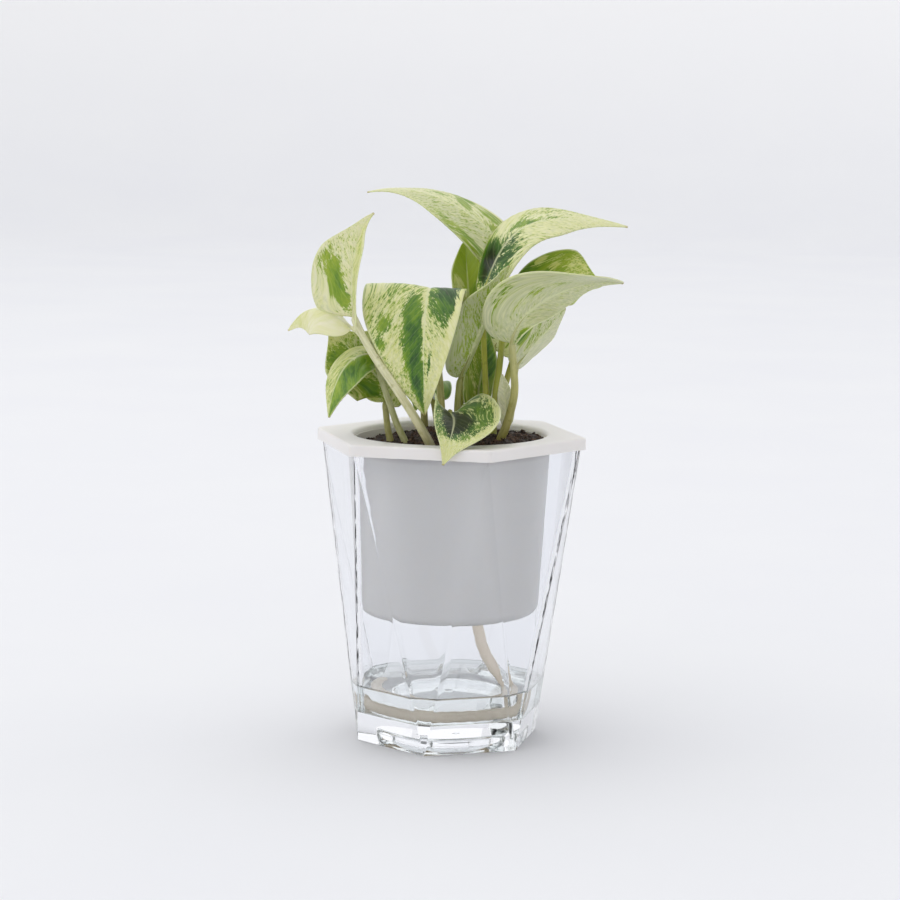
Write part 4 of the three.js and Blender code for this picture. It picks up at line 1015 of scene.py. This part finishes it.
def makeBlade(name, leaf, number, material):
    rows, columns = bladeFinish["rows"], bladeFinish["columns"]
    bpy.ops.mesh.primitive_grid_add(x_subdivisions=columns, y_subdivisions=rows, size=2)
    piece = bpy.context.object
    piece.name = "blade_" + name
    mesh = piece.data
    flat = np.array([vertex.co[:2] for vertex in mesh.vertices])
    ends = bladeFinish["ends"]
    v = np.sign(flat[:, 0]) * abs(flat[:, 0]) ** bladeFinish["ribBias"]
    t = np.clip(((flat[:, 1] + 1) / 2) ** bladeFinish["stalkBias"], ends, 1 - ends)
    points, up, reach = bladePoints(leaf, t, v)
    length = bladeSpine(leaf)[2][-1]
    side = np.sign(v) * reach
    leanAtStalk, lean = bladeFinish["lean"]
    lean = leanAtStalk + (lean - leanAtStalk) * smoothStep(t, 0, bladeFinish["leanLength"])
    along = t * length - lean * reach
    own = number * bladeFinish["ownStep"]

    # unevenness of the blade, the sunk midrib and the relief of the side veins
    wave = bladeFinish["wave"]
    push = np.array([
        wave * noise.noise(Vector((a, b, own)) / bladeFinish["waveLength"]) for a, b in zip(t * length, side)
    ]) * np.minimum(reach / bladeFinish["waveFrom"], 1)
    push -= bladeFinish["groove"] * np.exp(-(side / bladeFinish["grooveWidth"]) ** 2) * (1 - t)
    phase = (along + own) / bladeFinish["veinSpacing"]
    shown = smoothStep(reach, *bladeFinish["veinFrom"])
    push -= bladeFinish["veinRelief"] * np.cos(2 * math.pi * phase) * shown
    points += up * push[:, None]

    green, dark, warm, veil = (patchwork(leaf[key], t, v) for key in ("green", "dark", "warm", "veil"))
    halfWidth = np.where(v > 0, leaf["width"][1], leaf["width"][0])
    values = {
        "place": (along, v * halfWidth, np.full(len(t), own)),
        "paint": (green, dark, warm),
        "share": (t, v, veil),
    }
    for key, columnsOf in values.items():
        layer = mesh.attributes.new(key, "FLOAT_VECTOR", "POINT")
        layer.data.foreach_set("vector", np.column_stack(columnsOf).ravel())
    for vertex, point in zip(mesh.vertices, points):
        vertex.co = plantTurn @ Vector(point * mm)

    selectOnly(piece)
    modifier = piece.modifiers.new("leaf thickness", "SOLIDIFY")
    modifier.thickness = bladeFinish["thickness"] * mm
    modifier.offset = 0
    bpy.ops.object.modifier_apply(modifier=modifier.name)
    for face in mesh.polygons:
        face.use_smooth = True
    dress(piece, ["leaf_" + name], material)


bladeSkin = marbledBlade()
for number, (leafName, leafShape) in enumerate(leaves.items()):
    makeBlade(leafName, leafShape, number, bladeSkin)
print("blades made:", len(leaves))


# Stalks: each rises from the soil, with a shallow channel on its inner side, thickens a little at
# the knee under the blade and runs on as the midrib
stalk = {
    "inSoil": 8, "sides": 18, "steps": 70, "channel": 0.16, "channelPower": 6,
    "footSwell": 0.35, "footPart": 5,           # over a fifth of the line
    "knee": 0.12, "kneeAt": 0.95, "kneeWidth": 0.05,
    "tail": (0.02, 0.22), "tailPoints": 4, "tailDepth": 0.35, "tailTaper": 0.86, "tailPower": 0.45,
}


def stalkSkin():
    # Petiole: smooth, faintly striped along, pale to olive, with a soft shine
    material, tree, shader = newMaterial("petioleSkin")
    share = addNode(tree, "Attribute", attribute_name="share").outputs["Vector"]
    tint = addNode(tree, "Attribute", attribute_name="tint")
    place = addNode(tree, "TexCoord").outputs["Object"]
    stretched = addNode(tree, "VectorMath", {0: share, 1: (9, 11, 1)}, operation="MULTIPLY")
    stripe = addNode(tree, "TexNoise", {"Vector": stretched, "Scale": 1.0, "Detail": 3.0})
    fleck = addNode(tree, "TexNoise", {"Vector": place, "Scale": 1 / (2.5 * mm), "Detail": 3.0})
    darker = addNode(tree, "MixRGB", {0: 1.0, 1: tint, 2: srgb("c4c69a")}, blend_type="MULTIPLY")
    lines = addNode(tree, "MapRange", {0: stripe, 1: 0.4, 2: 0.7, 4: 0.6})
    striped = addNode(tree, "MixRGB", {0: lines, 1: tint, 2: darker})
    spots = addNode(tree, "MapRange", {0: fleck, 1: 0.58, 2: 0.7, 4: 0.5})
    spotted = addNode(tree, "MixRGB", {0: spots, 1: striped, 2: darker})
    bump = addNode(tree, "Bump", {"Strength": 0.3, "Distance": 0.1 * mm, "Height": stripe})
    feed(tree, shader, {"Base Color": spotted, "Normal": bump, "Roughness": 0.42, "Subsurface Weight": 0.25,
                        "Subsurface Radius": (1.0, 1.0, 0.4), "Subsurface Scale": 1 * mm})
    return material


def makeStalk(name, leaf, material):
    route = [np.array(p, float) for p in leaf["stem"]]
    root = [] if leaf.get("onStalk") else [route[0] - (0, 0, stalk["inSoil"])]
    tail = np.linspace(*stalk["tail"], stalk["tailPoints"])
    ribLine, up, _ = bladePoints(leaf, tail, np.zeros(len(tail)))
    line = routeThrough([*root, *route, *(ribLine - up * stalk["tailDepth"])], stalk["steps"])
    run = distances(line)
    stemEnd = run[np.argmin(np.linalg.norm(line - route[-1], axis=1))] / run[-1]
    footRadius, topRadius = leaf["stemRadius"]

    def section(along, angle):
        up = min(along / stemEnd, 1)
        radius = footRadius + (topRadius - footRadius) * up
        radius *= 1 + stalk["footSwell"] * max(0, 1 - along * stalk["footPart"]) ** 2
        radius *= 1 + stalk["knee"] * math.exp(-((up - stalk["kneeAt"]) / stalk["kneeWidth"]) ** 2)
        if along > stemEnd:
            onTail = (along - stemEnd) / (1 - stemEnd)
            radius *= 1 - stalk["tailTaper"] * onTail ** stalk["tailPower"]
        return radius * (1 - stalk["channel"] * max(0, math.cos(angle)) ** stalk["channelPower"])

    piece = tube("stalk_" + name, line, stalk["sides"], section)
    foot, middle, top = (np.array(srgb(c)) for c in leaf["stemTint"])
    layer = piece.data.attributes.new("tint", "FLOAT_COLOR", "POINT")
    for k, item in enumerate(layer.data):
        along = (k // stalk["sides"]) / stalk["steps"]
        low, high, part = (foot, middle, along * 2) if along < 0.5 else (middle, top, along * 2 - 1)
        item.color = low + (high - low) * part
    dress(piece, ["leaf_" + name if leaf.get("onStalk") else "stem_" + name], material)


petioleSkin = stalkSkin()
for leafName, leafShape in leaves.items():
    if "stem" in leafShape:
        makeStalk(leafName, leafShape, petioleSkin)
print("stalks made")


# Floor: a matt white sweep that rises far behind the object on all sides
floor = {"radius": 3.2, "curve": 0.9, "steps": 8, "drop": 0.05}  # in m, the drop in mm


def makeFloor():
    bpy.ops.mesh.primitive_circle_add(vertices=96, radius=floor["radius"], fill_type="NGON",
                                      location=(0, 0, -floor["drop"] * mm))
    sweep = bpy.context.object
    sweep.name = "floor"
    bpy.ops.object.mode_set(mode="EDIT")
    bpy.ops.mesh.select_mode(type="EDGE")
    bpy.ops.mesh.select_all(action="SELECT")
    for k in range(floor["steps"]):
        low, high = (math.radians(90 * j / floor["steps"]) for j in (k, k + 1))
        lift = floor["curve"] * (math.cos(low) - math.cos(high))
        before = floor["radius"] + floor["curve"] * math.sin(low)
        after = floor["radius"] + floor["curve"] * math.sin(high)
        bpy.ops.mesh.extrude_edges_move(TRANSFORM_OT_translate={"value": (0, 0, lift)})
        bpy.ops.transform.resize(value=(after / before, after / before, 1))
    bpy.ops.object.mode_set(mode="OBJECT")
    settle(sweep)
    for face in sweep.data.polygons:
        face.use_smooth = len(face.vertices) == 4
    material, tree, shader = newMaterial("mattWhitePaint")
    place = addNode(tree, "TexCoord").outputs["Object"]
    mottle = addNode(tree, "TexNoise", {"Vector": place, "Scale": 6.0, "Detail": 3.0})
    tint = addNode(tree, "ValToRGB", {"Fac": mottle}, [(0.3, "ebecef"), (0.7, "edeef0")])
    height = addNode(tree, "SeparateXYZ", {0: place}).outputs[2]
    raised = addNode(tree, "MapRange", {0: height, 1: 0.05, 2: 0.5})
    # painted light: the far sweep is painted whiter with height, for the light its rising face lacks
    tint = addNode(tree, "MixRGB", {0: raised, 1: tint, 2: srgb("fcfcfc")})
    feed(tree, shader, {"Base Color": tint, "Roughness": 0.9, "Specular IOR Level": 0.1})
    sweep.data.materials.append(material)


makeFloor()


# Light: an overcast-white room with a window above and to the left, darker to the right and in front
light = {
    "sky": "f6f6f8", "skyStrength": 1.17, "roomShade": 0.45,
    "shadeWay": (0.85, -0.45), "shadeFrom": (0.25, 0.9), "shadeHeight": (0.12, 0.4),
    "keyPower": 3.2, "keySize": 2.4, "keyPlace": (-0.9, 0.2, 1.6), "keyAim": (0, 0, 0.12),
    "keyTint": (1.0, 0.985, 0.96), "bounces": 28, "glossyBounces": 20,
}


def makeLight():
    world = bpy.data.worlds.new("softDaylight")
    bpy.context.scene.world = world
    world.use_nodes = True
    tree = world.node_tree
    way = addNode(tree, "TexCoord").outputs["Generated"]
    x, y, z = addNode(tree, "SeparateXYZ", {0: way}).outputs
    xShare, yShare = light["shadeWay"]
    start, end = light["shadeFrom"]
    low, high = light["shadeHeight"]
    aside = addNode(tree, "Math", {0: x, 1: xShare}, operation="MULTIPLY")
    aside = addNode(tree, "Math", {0: y, 1: yShare, 2: aside}, operation="MULTIPLY_ADD")
    rightward = addNode(tree, "MapRange", {0: aside, 1: start, 2: end})
    raised = addNode(tree, "MapRange", {0: z, 1: low, 2: high})
    shade = addNode(tree, "Math", {0: rightward, 1: raised}, operation="MULTIPLY")
    strength = light["skyStrength"]
    level = addNode(tree, "MapRange", {0: shade, 3: strength, 4: strength * light["roomShade"]})
    feed(tree, tree.nodes["Background"], {"Strength": level, "Color": srgb(light["sky"])})
    bpy.ops.object.light_add(type="AREA", location=light["keyPlace"])
    key = bpy.context.object
    key.name = "windowLight"
    key.data.energy = light["keyPower"]
    key.data.size = light["keySize"]
    key.data.color = light["keyTint"]
    key.rotation_euler = (Vector(light["keyAim"]) - key.location).to_track_quat("-Z", "Y").to_euler()


makeLight()
bpy.context.scene.view_settings.view_transform = "Standard"
# light runs far inside the clear wall and the thick floor
lightPaths = bpy.context.scene.cycles
lightPaths.max_bounces = lightPaths.transmission_bounces = light["bounces"]
lightPaths.glossy_bounces = light["glossyBounces"]
print("floor and light made")
